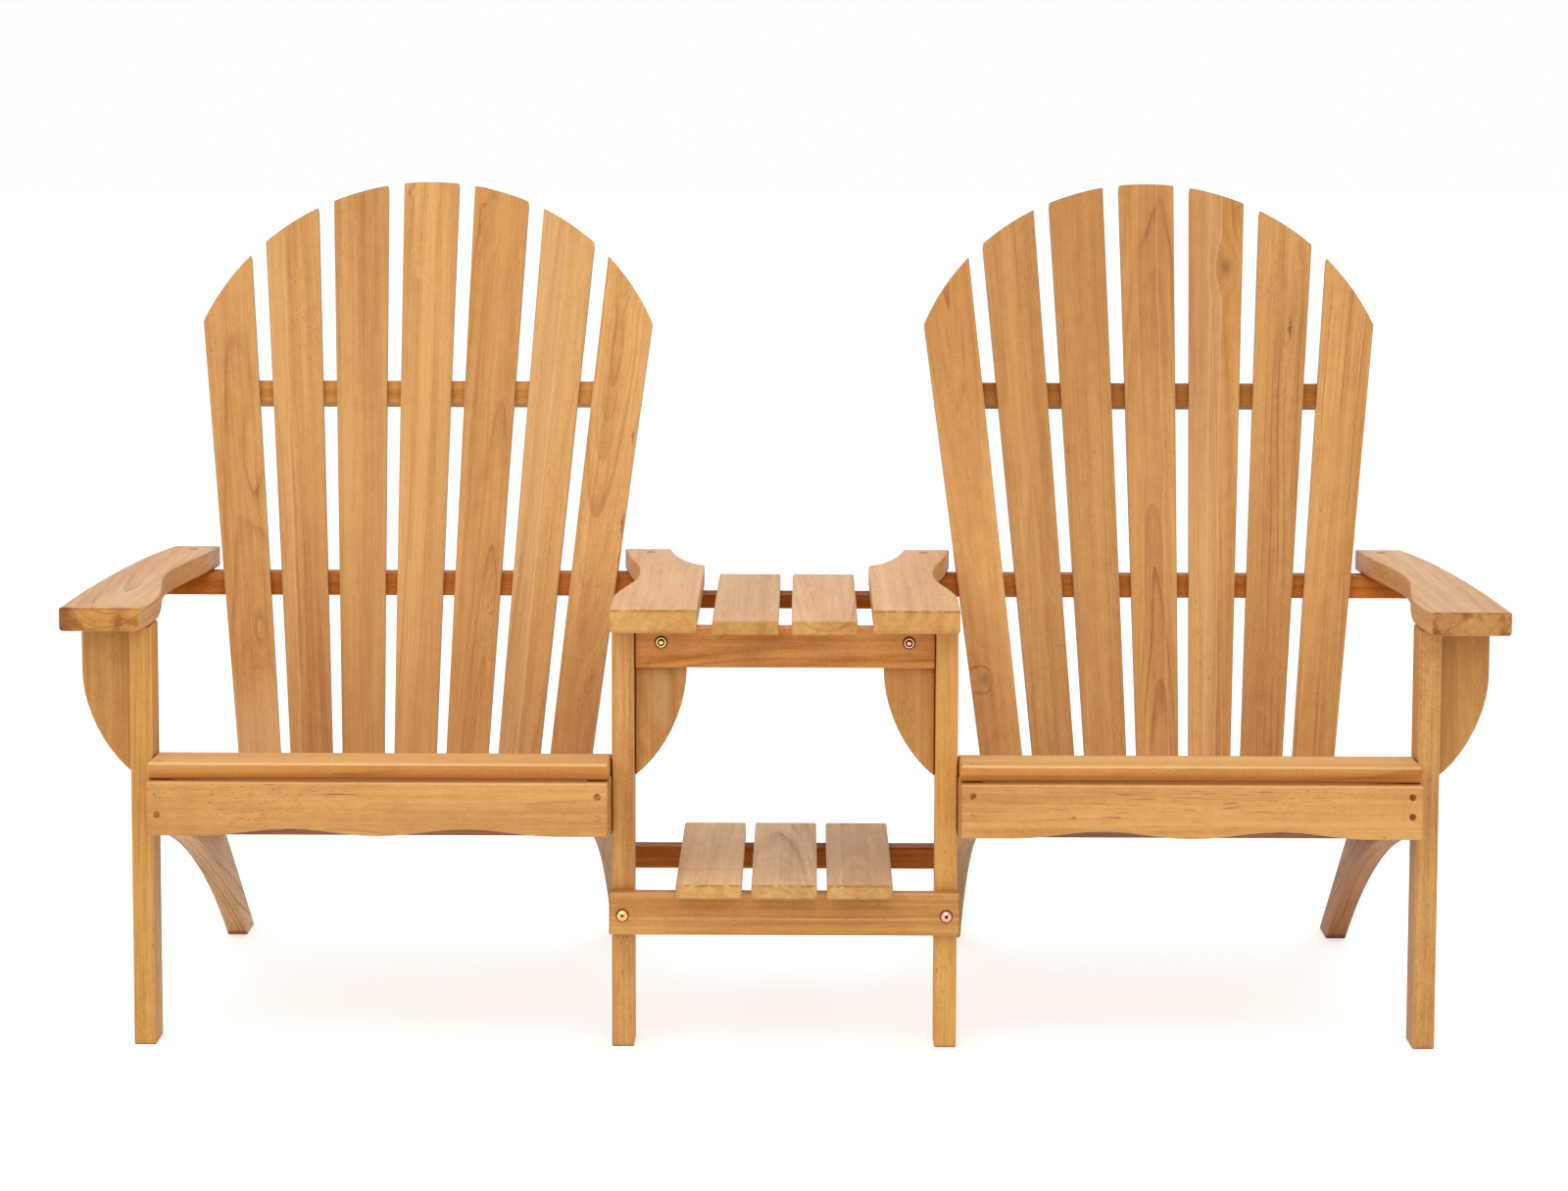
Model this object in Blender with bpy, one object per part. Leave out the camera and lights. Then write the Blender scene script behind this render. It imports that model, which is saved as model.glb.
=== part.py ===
"""Double lounge chair: two fan-back teak chairs joined by a small two-tier table.

Run it with: blender --background --python part.py, or from the text editor.
Metres, +Z up, +Y towards the backs. The origin is on the floor, under the middle of the whole.
Inside the assembly, Y is measured from the front faces of the front legs.
"""
import math

import bmesh
import bpy
from mathutils import Matrix

# Fits
SEAT_GAP = 0.0003
CUT_OVERRUN = 0.002

# Edges
EDGE_EASE = 0.0015
SLAT_EDGE_EASE = 0.0018
ARM_TOP_EASE = 0.0012
ARM_BOTTOM_ROUND = 0.0045
SHARP_CORNER = math.radians(35)
EASE_STEPS = 1

# Widths that set the whole
TABLE_BAY_WIDTH = 0.3524
CHAIR_WIDTH = 0.5363

# Front legs
LEG_HEIGHT = 0.4965
LEG_THICKNESS = 0.026
LEG_DEPTH = 0.058

# Side rails, each a seat rail and a rear leg in one board
SIDE_RAIL_THICKNESS = 0.027
SEAT_FRONT_HEIGHT = 0.324
SEAT_FRONT_REACH = 0.0502
SIDE_RAIL_FRONT_DEPTH = 0.061
REAR_FOOT_REACH = 0.679
REAR_FOOT_LENGTH = 0.073
UNDERSIDE_RISE = 0.036
UNDERSIDE_STEPS = 14

# Seat slats
NOSE_SLAT_WIDTH = 0.098
NOSE_OVERHANG = 0.0118
NOSE_TOP_ROUND = 0.0024
NOSE_TOP_STEPS = 2
NOSE_BOTTOM_ROUND = 0.0125
NOSE_BOTTOM_STEPS = 6
SEAT_SLAT_WIDTH = 0.114
SEAT_SLAT_GAP = 0.0115
SEAT_SLAT_THICKNESS = 0.0205
SEAT_END_GAP = 0.0015
SEAT_SLOPES = tuple(math.radians(degrees) for degrees in (1.5, 15.5, 17.3, 19.2))

# Front aprons
APRON_THICKNESS = 0.0215
APRON_HEIGHT = 0.0625
APRON_WAVE_DEPTH = 0.0085
APRON_WAVE_LENGTH = 0.205
APRON_WAVE_STEPS = 12

# Backs
BACK_RECLINE = math.radians(24.4)
BACK_LENGTH = 0.875
BACK_GAP = 0.006
BACK_FOOT_DROP = 0.0172
BACK_SLAT_COUNT = 7
BACK_SLAT_THICKNESS = 0.018
BACK_FOOT_GAP = 0.0118
BACK_TOP_GAP = 0.0208
BACK_RAIL_CLEARANCE = 0.0288
BACK_ARM_CLEARANCE = 0.0107
BACK_SHIFT_TO_TABLE = 0.0016
ARCH_DROP = 0.1960
ARCH_STEPS = 6
LOWER_RAIL_HEIGHT = 0.045
LOWER_RAIL_THICKNESS = 0.024
ARM_RAIL_HEIGHT = 0.0285
ARM_RAIL_DEPTH = 0.026
UPPER_RAIL_RISE = 0.573
UPPER_RAIL_HEIGHT = 0.031
UPPER_RAIL_THICKNESS = 0.018
UPPER_RAIL_INSET = 0.0005
ARM_RAIL_TABLE_END = 0.0525
ARM_RAIL_FAR_END = 0.0605

# Arms: each edge is a row of shares of the arm's length and of its scoop or reach
ARM_THICKNESS = 0.0278
ARM_FRONT_OVERHANG = 0.058
ARM_SCOOP = 0.0215
OUTER_ARM_REACH = 0.098
INNER_ARM_REACH = 0.100
ARM_CURVE_STEPS = 3
ARM_BOTTOM_STEPS = 2
ROUND_PROFILE = 0.5
OUTER_ARM_TAIL = 0.016
OUTER_ARM_CORNER = 0.008
ARM_CORNER_STEPS = 3
OUTER_SCOOP_SHARES = ((0.0, 0.29), (0.045, 0.13), (0.09, 0.02), (0.15, -0.02), (0.21, 0.03), (0.33, 0.42),
                      (0.45, 0.86), (0.57, 0.99), (0.70, 0.72), (0.84, 0.22), (1.0, -0.28))
INNER_SCOOP_SHARES = ((0.0, 0.0), (0.12, -0.02), (0.23, 0.0), (0.35, 0.42), (0.47, 0.90),
                      (0.59, 1.03), (0.72, 0.78), (0.85, 0.22), (1.0, -0.28))
OUTER_REACH_SHARES = ((0.0, 1.0), (0.22, 0.97), (0.45, 0.905), (0.72, 0.785), (0.88, 0.66), (1.0, 0.53))
INNER_REACH_SHARES = ((0.712, 1.0), (0.74, 0.88), (0.79, 0.76), (0.86, 0.65), (0.93, 0.58), (1.0, 0.53))

# Curved brackets under the arms
BRACKET_WIDTH = 0.060
BRACKET_HEIGHT = 0.179
BRACKET_THICKNESS = 0.026
BRACKET_CURVE_STEPS = 10
BRACKET_CURVE_SHARES = ((1.0, 0.316), (1.0, 0.550), (0.60, 0.846), (0.0, 1.0))

# Table and shelf between the chairs
TABLE_SLAT_WIDTH = 0.0763
TABLE_SLAT_THICKNESS = 0.0168
TABLE_SLAT_GAP = 0.015
TABLE_SLAT_LENGTH = 0.475
TABLE_SLAT_OVERHANG = 0.072
TABLE_RAIL_HEIGHT = 0.048
TABLE_RAIL_THICKNESS = 0.022
TABLE_BATTEN_DEPTH = 0.036
TABLE_BATTEN_HEIGHT = 0.0185
TABLE_BATTEN_REAR_OVERHANG = 0.030
TABLE_BATTEN_END_INSET = 0.006
SHELF_SLAT_GAP = 0.0115
SHELF_SLAT_LENGTH = 0.434
SHELF_SLAT_OVERHANG = 0.0417
SHELF_RAIL_TOP = 0.1875
SHELF_RAIL_THICKNESS = 0.0217
SHELF_RAIL_HEIGHT = 0.050
SHELF_RAIL_OVERHANG = 0.0026
SHELF_REAR_RAIL_THICKNESS = 0.027
SHELF_REAR_RAIL_HEIGHT = 0.0283
SHELF_REAR_OVERHANG = 0.0454

# Brass bolts that hold the table and the shelf
BOLT_SIDES = 18
BOLT_LENGTH = 0.036
BOLT_SHANK_RADIUS = 0.003
BOLT_HEAD_RADIUS = 0.0066
BOLT_HEAD_HEIGHT = 0.0024
BOLT_HEAD_ROUND = 0.0008
SOCKET_SIDES = 6
SOCKET_WIDTH = 0.004
SOCKET_DEPTH = 0.0014
TABLE_BOLT_INSET = 0.0315
TABLE_BOLT_DROP = 0.0184
SHELF_BOLT_DROP = 0.0272

# Colours, linear, how light or dark each board of a set is, and how rough the surfaces are
TEAK_COLOUR = (0.60, 0.335, 0.135)
TEAK_ROUGHNESS = 0.55
BRASS_COLOUR = (0.72, 0.47, 0.22)
BRASS_ROUGHNESS = 0.3
BOARD_TONES = (1.0, 0.93, 1.06, 0.88, 1.02, 0.95, 1.09)

# Places worked out from the sizes above
CHAIR_CENTRE = TABLE_BAY_WIDTH / 2 + LEG_THICKNESS + CHAIR_WIDTH / 2
HALF_CHAIR = CHAIR_WIDTH / 2
HALF_SEAT = HALF_CHAIR - SEAT_END_GAP
RAIL_OUTER_FACE = HALF_CHAIR - SEAT_GAP
RAIL_INNER_FACE = RAIL_OUTER_FACE - SIDE_RAIL_THICKNESS
BRACKET_FRONT = LEG_DEPTH - BRACKET_THICKNESS
APRON_FRONT = -SEAT_FRONT_REACH - SEAT_GAP - APRON_THICKNESS
SEAT_PITCH = SEAT_SLAT_WIDTH + SEAT_SLAT_GAP
ARM_UNDERSIDE = LEG_HEIGHT + SEAT_GAP
TABLE_RAIL_FRONT = BRACKET_FRONT - SEAT_GAP - TABLE_RAIL_THICKNESS
TABLE_TOP_REAR = TABLE_SLAT_LENGTH - TABLE_SLAT_OVERHANG
SHELF_RAIL_FRONT = -SEAT_GAP - SHELF_RAIL_THICKNESS
SHELF_FRONT = SHELF_RAIL_FRONT - SHELF_SLAT_OVERHANG
SHELF_REAR = SHELF_FRONT + SHELF_SLAT_LENGTH


def seat_path():
    """Corners of a side rail's top edge, as (y, z): one flat for each seat slat."""
    y = -SEAT_FRONT_REACH
    z = SEAT_FRONT_HEIGHT
    corners = [(y, z)]
    for number, slope in enumerate(SEAT_SLOPES):
        if number == 0:
            run = NOSE_SLAT_WIDTH - NOSE_OVERHANG + SEAT_SLAT_GAP / 2
        else:
            run = SEAT_PITCH
        y += run * math.cos(slope)
        z -= run * math.sin(slope)
        corners.append((y, z))
    return corners


# The backs start behind the seat, and the arm rails lie flat against the backs
SEAT_PATH = seat_path()
SEAT_REAR_Y, SEAT_REAR_Z = SEAT_PATH[-1]
BACK_FOOT_Z = SEAT_REAR_Z - BACK_FOOT_DROP
BACK_FOOT_Y = SEAT_REAR_Y + BACK_GAP - BACK_FOOT_DROP * math.tan(BACK_RECLINE)
ARM_LEVEL = (ARM_UNDERSIDE - BACK_FOOT_Z) / math.cos(BACK_RECLINE)
ARM_RAIL_FRONT = (BACK_FOOT_Y + (LEG_HEIGHT - BACK_FOOT_Z) * math.tan(BACK_RECLINE)
                  + (BACK_SLAT_THICKNESS + SEAT_GAP) / math.cos(BACK_RECLINE))
ARM_FRONT = -ARM_FRONT_OVERHANG
ARM_REAR = ARM_RAIL_FRONT + ARM_RAIL_DEPTH
ARM_LENGTH = ARM_REAR - ARM_FRONT
ARM_REAR_EDGE = HALF_CHAIR + ARM_SCOOP * OUTER_SCOOP_SHARES[-1][1]
BACK_FOOT_HALF = RAIL_INNER_FACE - BACK_RAIL_CLEARANCE
BACK_SPREAD = (ARM_REAR_EDGE - BACK_ARM_CLEARANCE - BACK_FOOT_HALF) / ARM_LEVEL

# The whole is centred on its depth, from its front edge to the backs' tops
FRONT_MOST = min(-TABLE_SLAT_OVERHANG, APRON_FRONT, SHELF_FRONT, ARM_FRONT)
REAR_MOST = (BACK_FOOT_Y + (BACK_LENGTH - EDGE_EASE) * math.sin(BACK_RECLINE)
             + BACK_SLAT_THICKNESS * math.cos(BACK_RECLINE))
DEPTH_CENTRE = (FRONT_MOST + REAR_MOST) / 2


class Chair:
    """One of the two chairs: its name, its side (-1 left, +1 right) and the empty that holds it."""

    def __init__(self, name, side, assembly):
        self.name = name
        self.side = side
        self.holder = add_empty(name + "_chair", (side * CHAIR_CENTRE, 0.0, 0.0), assembly)

    def across(self, half, offset):
        """X in the chair of an offset from its middle, outwards (half +1) or towards the table (-1)."""
        return self.side * half * offset

    def span(self, half, near, far):
        """Lower and higher X of a board that lies between two offsets."""
        return sorted((self.across(half, near), self.across(half, far)))


def clear_scene():
    for item in list(bpy.data.objects):
        bpy.data.objects.remove(item, do_unlink=True)


def add_empty(name, location, holder=None):
    empty = bpy.data.objects.new(name, None)
    bpy.context.scene.collection.objects.link(empty)
    empty.parent = holder
    empty.location = location
    return empty


def add_material(name, colour, roughness, metallic):
    made = bpy.data.materials.new(name)
    made.use_nodes = True
    shader = made.node_tree.nodes["Principled BSDF"]
    shader.inputs["Base Color"].default_value = (*colour, 1.0)
    shader.inputs["Roughness"].default_value = roughness
    shader.inputs["Metallic"].default_value = metallic
    return made


def add_teak(name, tone):
    """Teak for one board, lighter or darker by the tone with that number."""
    colour = [channel * BOARD_TONES[tone] for channel in TEAK_COLOUR]
    return add_material(name + "_teak", colour, TEAK_ROUGHNESS, 0)


def place(holder, name, mesh, frame):
    """An object of this mesh, at a frame inside its holder."""
    piece = bpy.data.objects.new(name, mesh)
    bpy.context.scene.collection.objects.link(piece)
    piece.parent = holder
    piece.matrix_local = frame
    return piece


def finish_mesh(shape, name):
    """Hand the shape over as a mesh with its faces out, smooth but for its corners."""
    bmesh.ops.recalc_face_normals(shape, faces=shape.faces)
    mesh = bpy.data.meshes.new(name)
    shape.to_mesh(mesh)
    shape.free()
    mesh.shade_smooth()
    mesh.set_sharp_from_angle(angle=SHARP_CORNER)
    return mesh


def prism(outline, axis, thickness):
    """A board: a closed outline carried along X, Y or Z from zero to the thickness.

    The outline's points are (y, z) for X, (x, z) for Y and (x, y) for Z.
    """
    order = {"X": (2, 0, 1), "Y": (0, 2, 1), "Z": (0, 1, 2)}[axis]
    shape = bmesh.new()
    ends = []
    for depth in (0.0, thickness):
        points = [(*point, depth) for point in outline]
        ends.append([shape.verts.new([values[index] for index in order]) for values in points])
    shape.faces.new(ends[0])
    shape.faces.new(ends[1])
    for index, vert in enumerate(ends[0]):
        after = (index + 1) % len(outline)
        shape.faces.new((vert, ends[0][after], ends[1][after], ends[1][index]))
    bmesh.ops.recalc_face_normals(shape, faces=shape.faces)
    return shape


def rectangle(low_a, high_a, low_b, high_b):
    return [(low_a, low_b), (high_a, low_b), (high_a, high_b), (low_a, high_b)]


def add_board(holder, name, outline, axis, span, tone, ease=EDGE_EASE, frame=None):
    """A flat board cut to an outline, between two places on an axis, with its long edges eased."""
    low, high = span
    mesh = finish_mesh(prism(outline, axis, high - low), name)
    mesh.materials.append(add_teak(name, tone))
    start = [low if letter == axis else 0.0 for letter in "XYZ"]
    piece = place(holder, name, mesh, (frame or Matrix.Identity(4)) @ Matrix.Translation(start))
    bevel = piece.modifiers.new("eased_edges", "BEVEL")
    bevel.width = ease
    bevel.segments = EASE_STEPS
    bevel.limit_method = "ANGLE"
    bevel.angle_limit = SHARP_CORNER
    bevel.harden_normals = True
    return piece


def arc_between(start, end, rise, steps):
    """Points of the circular arc from start to end that bulges by rise to the left of the chord."""
    run_a = end[0] - start[0]
    run_b = end[1] - start[1]
    chord = math.hypot(run_a, run_b)
    radius = (chord * chord / 4 + rise * rise) / (2 * rise)
    half_angle = math.asin(chord / 2 / radius)
    points = []
    for step in range(steps + 1):
        angle = half_angle * (2 * step / steps - 1)
        along = chord / 2 + radius * math.sin(angle)
        out = radius * math.cos(angle) - (radius - rise)
        points.append((start[0] + (run_a * along - run_b * out) / chord,
                       start[1] + (run_b * along + run_a * out) / chord))
    return points


def curve_through(points, steps):
    """A smooth curve through the points, with the given number of steps from each to the next."""
    ends = [points[0], *points, points[-1]]
    curve = []
    for index in range(1, len(ends) - 2):
        corners = ends[index - 1:index + 3]
        for step in range(steps):
            t = step / steps
            weights = ((2 * t * t - t - t ** 3) / 2, (2 - 5 * t * t + 3 * t ** 3) / 2,
                       (t + 4 * t * t - 3 * t ** 3) / 2, (t ** 3 - t * t) / 2)
            curve.append(blend(corners, weights))
    curve.append(points[-1])
    return curve


def bezier(points, steps):
    """Points of a cubic curve from its two ends and two handles."""
    curve = []
    for step in range(steps + 1):
        t = step / steps
        curve.append(blend(points, ((1 - t) ** 3, 3 * t * (1 - t) ** 2, 3 * t * t * (1 - t), t ** 3)))
    return curve


def blend(points, weights):
    return tuple(sum(weight * point[axis] for weight, point in zip(weights, points)) for axis in (0, 1))


def add_front_legs(chair):
    legs = {}
    for label, half, tone in (("outer", 1, 4), ("inner", -1, 1)):
        outline = rectangle(0.0, LEG_DEPTH, 0.0, LEG_HEIGHT)
        legs[label] = add_board(chair.holder, f"{chair.name}_front_leg_{label}", outline, "X",
                                chair.span(half, HALF_CHAIR, HALF_CHAIR + LEG_THICKNESS), tone)
    return legs


def side_rail_outline():
    """Seat rail and rear leg: arched below, a flat for each slat above, cut level at the foot."""
    front_low = (-SEAT_FRONT_REACH, SEAT_FRONT_HEIGHT - SIDE_RAIL_FRONT_DEPTH)
    foot_front = (REAR_FOOT_REACH, 0.0)
    foot_rear = (REAR_FOOT_REACH + REAR_FOOT_LENGTH, 0.0)
    underside = arc_between(front_low, foot_front, UNDERSIDE_RISE, UNDERSIDE_STEPS)
    return [*underside, foot_rear, *reversed(SEAT_PATH)]


def add_side_rails(chair):
    for label, half, tone in (("outer", 1, 2), ("inner", -1, 5)):
        add_board(chair.holder, f"{chair.name}_side_rail_{label}", side_rail_outline(), "X",
                  chair.span(half, RAIL_INNER_FACE, RAIL_OUTER_FACE), tone)


def apron_outline():
    """A level top and a lower edge that rises in two waves, one on each side of the middle."""
    low = SEAT_FRONT_HEIGHT - APRON_HEIGHT
    points = [(-HALF_SEAT, low)]
    for step in range(2 * APRON_WAVE_STEPS + 1):
        waves = step / APRON_WAVE_STEPS - 1
        rise = APRON_WAVE_DEPTH * (1 - math.cos(2 * math.pi * waves)) / 2
        points.append((waves * APRON_WAVE_LENGTH, low + rise))
    points.append((HALF_SEAT, low))
    points.append((HALF_SEAT, SEAT_FRONT_HEIGHT))
    points.append((-HALF_SEAT, SEAT_FRONT_HEIGHT))
    return points


def add_front_apron(chair):
    add_board(chair.holder, f"{chair.name}_front_apron", apron_outline(), "Y",
              (APRON_FRONT, APRON_FRONT + APRON_THICKNESS), 4)


def quarter_round(corner, radius, start, steps):
    """Points of a quarter circle inside a corner, from the start angle on."""
    points = []
    for step in range(steps + 1):
        angle = start + math.pi / 2 * step / steps
        points.append((corner[0] + radius * math.cos(angle), corner[1] + radius * math.sin(angle)))
    return points


def nose_outline():
    """Section of the front slat, with its front corners rounded."""
    front = -NOSE_OVERHANG
    rear = front + NOSE_SLAT_WIDTH
    above = (front + NOSE_TOP_ROUND, SEAT_SLAT_THICKNESS - NOSE_TOP_ROUND)
    below = (front + NOSE_BOTTOM_ROUND, NOSE_BOTTOM_ROUND)
    return [(rear, 0.0), (rear, SEAT_SLAT_THICKNESS),
            *quarter_round(above, NOSE_TOP_ROUND, math.pi / 2, NOSE_TOP_STEPS),
            *quarter_round(below, NOSE_BOTTOM_ROUND, math.pi, NOSE_BOTTOM_STEPS)]


def add_seat_slats(chair):
    """Boards across the rails, each lying on its own flat, the first with a rounded nose."""
    plain = rectangle(SEAT_SLAT_GAP / 2, SEAT_SLAT_GAP / 2 + SEAT_SLAT_WIDTH, 0.0, SEAT_SLAT_THICKNESS)
    for number, slope in enumerate(SEAT_SLOPES):
        frame = (Matrix.Translation((0.0, *SEAT_PATH[number])) @ Matrix.Rotation(-slope, 4, "X")
                 @ Matrix.Translation((0.0, 0.0, SEAT_GAP)))
        outline = nose_outline() if number == 0 else plain
        add_board(chair.holder, f"{chair.name}_seat_slat_{number + 1}", outline, "X",
                  (-HALF_SEAT, HALF_SEAT), number, SLAT_EDGE_EASE, frame)


def fan_half_width(height):
    """Half the fan's width at a height up the back."""
    return BACK_FOOT_HALF + BACK_SPREAD * height


def fan_edge(index, end, height):
    """Across-place of a slat's left (end -1) or right (end +1) edge at a height up the back."""
    gap = BACK_FOOT_GAP + (BACK_TOP_GAP - BACK_FOOT_GAP) * height / BACK_LENGTH
    pitch = (2 * fan_half_width(height) + gap) / BACK_SLAT_COUNT
    return index * pitch + end * (pitch - gap) / 2


def arch_circle():
    """Radius and centre height of the circle that the slats' tops are cut to."""
    half = fan_half_width(BACK_LENGTH - ARCH_DROP)
    radius = (half * half + ARCH_DROP * ARCH_DROP) / (2 * ARCH_DROP)
    return radius, BACK_LENGTH - radius


def arch_crossing(index, end):
    """Angle from straight up at which a slat's edge meets the arch."""
    radius, centre = arch_circle()
    foot = fan_edge(index, end, 0.0)
    slope = (fan_edge(index, end, BACK_LENGTH) - foot) / BACK_LENGTH
    level = foot + slope * centre
    unit = 1 + slope * slope
    height = (math.sqrt(radius * radius * unit - level * level) - slope * level) / unit
    return math.atan2(level + slope * height, height)


def back_slat_outline(index):
    """A slat that widens upwards, with its top cut to the arch."""
    radius, centre = arch_circle()
    start = arch_crossing(index, -1)
    sweep = arch_crossing(index, 1) - start
    points = [(fan_edge(index, 1, 0.0), 0.0), (fan_edge(index, -1, 0.0), 0.0)]
    for step in range(ARCH_STEPS + 1):
        angle = start + sweep * step / ARCH_STEPS
        points.append((radius * math.sin(angle), centre + radius * math.cos(angle)))
    return points


def add_back(chair):
    """Seven tapering slats in a fan, fixed from behind to a low and a high rail."""
    frame = (Matrix.Translation((0.0, BACK_FOOT_Y, BACK_FOOT_Z))
             @ Matrix.Rotation(math.pi / 2 - BACK_RECLINE, 4, "X"))
    fan = Matrix.Translation((chair.across(-1, BACK_SHIFT_TO_TABLE), 0.0, 0.0)) @ frame
    middle = (BACK_SLAT_COUNT - 1) / 2
    for number in range(BACK_SLAT_COUNT):
        add_board(chair.holder, f"{chair.name}_back_slat_{number + 1}", back_slat_outline(number - middle),
                  "Z", (-BACK_SLAT_THICKNESS, 0.0), number, frame=fan)
    behind = -BACK_SLAT_THICKNESS - SEAT_GAP
    half = RAIL_INNER_FACE - SEAT_GAP
    add_board(chair.holder, f"{chair.name}_lower_back_rail", rectangle(-half, half, 0.0, LOWER_RAIL_HEIGHT),
              "Z", (behind - LOWER_RAIL_THICKNESS, behind), 3, frame=frame)
    top = UPPER_RAIL_RISE + UPPER_RAIL_HEIGHT
    half = fan_half_width(UPPER_RAIL_RISE) - UPPER_RAIL_INSET
    add_board(chair.holder, f"{chair.name}_upper_back_rail", rectangle(-half, half, UPPER_RAIL_RISE, top),
              "Z", (behind - UPPER_RAIL_THICKNESS, behind), 1, frame=fan)


def add_arm_rail(chair):
    """Level rail behind the slats that carries the rear ends of both arms."""
    lean = ARM_RAIL_HEIGHT * math.tan(BACK_RECLINE)
    bottom = LEG_HEIGHT - ARM_RAIL_HEIGHT
    outline = [(ARM_RAIL_FRONT, LEG_HEIGHT), (ARM_REAR, LEG_HEIGHT),
               (ARM_REAR - lean, bottom), (ARM_RAIL_FRONT - lean, bottom)]
    ends = sorted((chair.across(1, HALF_CHAIR + ARM_RAIL_FAR_END),
                   chair.across(-1, HALF_CHAIR + ARM_RAIL_TABLE_END)))
    add_board(chair.holder, f"{chair.name}_arm_rail", outline, "X", ends, 3)


class ArmShape:
    """Plan of an arm, in offsets from the chair's middle and in Y."""

    def __init__(self, half, length, corner, scoop_shares, reach, reach_shares):
        self.half = half
        self.corner = corner
        self.scooped = [(HALF_CHAIR + ARM_SCOOP * out, ARM_FRONT + length * along)
                        for along, out in scoop_shares]
        self.swept = [(HALF_CHAIR + reach * out, ARM_FRONT + length * along)
                      for along, out in reach_shares]

    def near_edge(self):
        """The scooped edge beside the sitter, from the front, its front corner rounded or square."""
        edge = curve_through(self.scooped, ARM_CURVE_STEPS)
        if not self.corner:
            return edge
        centre = (edge[0][0] + self.corner, ARM_FRONT + self.corner)
        rounded = quarter_round(centre, self.corner, math.pi, ARM_CORNER_STEPS)
        return [*reversed(rounded), *(point for point in edge if point[1] > centre[1])]

    def far_edge(self):
        """The swept edge on the far side, from the front, straight as far as its first point."""
        edge = curve_through(self.swept, ARM_CURVE_STEPS)
        if edge[0][1] > ARM_FRONT:
            edge.insert(0, (edge[0][0], ARM_FRONT))
        return edge

    def outline(self, chair):
        edges = (*self.near_edge(), *reversed(self.far_edge()))
        return [(chair.across(self.half, out), y) for out, y in edges]


def add_arm(chair, name, plan, tone):
    """A flat arm, crisp above and rounded over below."""
    shape = prism(plan.outline(chair), "Z", ARM_THICKNESS)
    rims = ((ARM_THICKNESS, ARM_TOP_EASE, EASE_STEPS), (0.0, ARM_BOTTOM_ROUND, ARM_BOTTOM_STEPS))
    for level, width, steps in rims:
        rim = [edge for edge in shape.edges
               if all(abs(vert.co.z - level) < SEAT_GAP for vert in edge.verts)]
        bmesh.ops.bevel(shape, geom=rim, offset=width, segments=steps, profile=ROUND_PROFILE, affect="EDGES")
    mesh = finish_mesh(shape, name)
    mesh.materials.append(add_teak(name, tone))
    place(chair.holder, name, mesh, Matrix.Translation((0.0, 0.0, ARM_UNDERSIDE)))


def add_arms(chair):
    outer = ArmShape(1, ARM_LENGTH + OUTER_ARM_TAIL, OUTER_ARM_CORNER, OUTER_SCOOP_SHARES,
                     OUTER_ARM_REACH, OUTER_REACH_SHARES)
    inner = ArmShape(-1, ARM_LENGTH, 0, INNER_SCOOP_SHARES, INNER_ARM_REACH, INNER_REACH_SHARES)
    add_arm(chair, f"{chair.name}_arm_outer", outer, 0)
    add_arm(chair, f"{chair.name}_arm_inner", inner, 2)


def bracket_outline(chair, half):
    """Upright outer edge at the top, then a curve in to the leg."""
    leg_face = HALF_CHAIR + LEG_THICKNESS + SEAT_GAP
    handles = [(leg_face + BRACKET_WIDTH * out, LEG_HEIGHT - BRACKET_HEIGHT * down)
               for out, down in BRACKET_CURVE_SHARES]
    points = [(leg_face, LEG_HEIGHT), (leg_face + BRACKET_WIDTH, LEG_HEIGHT),
              *bezier(handles, BRACKET_CURVE_STEPS)]
    return [(chair.across(half, out), z) for out, z in points]


def add_brackets(chair):
    brackets = {}
    for label, half in (("outer", 1), ("inner", -1)):
        brackets[label] = add_board(chair.holder, f"{chair.name}_arm_bracket_{label}",
                                    bracket_outline(chair, half), "Y", (BRACKET_FRONT, LEG_DEPTH), 5)
    return brackets


def add_table(assembly):
    """Two slats on a front rail between the legs and a batten under the inner arms."""
    half = TABLE_BAY_WIDTH / 2 - SEAT_GAP
    rail = add_board(assembly, "table_front_rail",
                     rectangle(-half, half, LEG_HEIGHT - TABLE_RAIL_HEIGHT, LEG_HEIGHT), "Y",
                     (TABLE_RAIL_FRONT, TABLE_RAIL_FRONT + TABLE_RAIL_THICKNESS), 1)
    half = TABLE_BAY_WIDTH / 2 - TABLE_BATTEN_END_INSET
    rear = TABLE_TOP_REAR - TABLE_BATTEN_REAR_OVERHANG
    add_board(assembly, "table_rear_batten",
              rectangle(-half, half, LEG_HEIGHT - TABLE_BATTEN_HEIGHT, LEG_HEIGHT), "Y",
              (rear - TABLE_BATTEN_DEPTH, rear), 3)
    for label, side, tone in (("left", -1, 0), ("right", 1, 2)):
        low, high = sorted((side * TABLE_SLAT_GAP / 2, side * (TABLE_SLAT_GAP / 2 + TABLE_SLAT_WIDTH)))
        add_board(assembly, f"table_slat_{label}",
                  rectangle(low, high, -TABLE_SLAT_OVERHANG, TABLE_TOP_REAR), "Z",
                  (ARM_UNDERSIDE, ARM_UNDERSIDE + TABLE_SLAT_THICKNESS), tone, SLAT_EDGE_EASE)
    return rail


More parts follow.
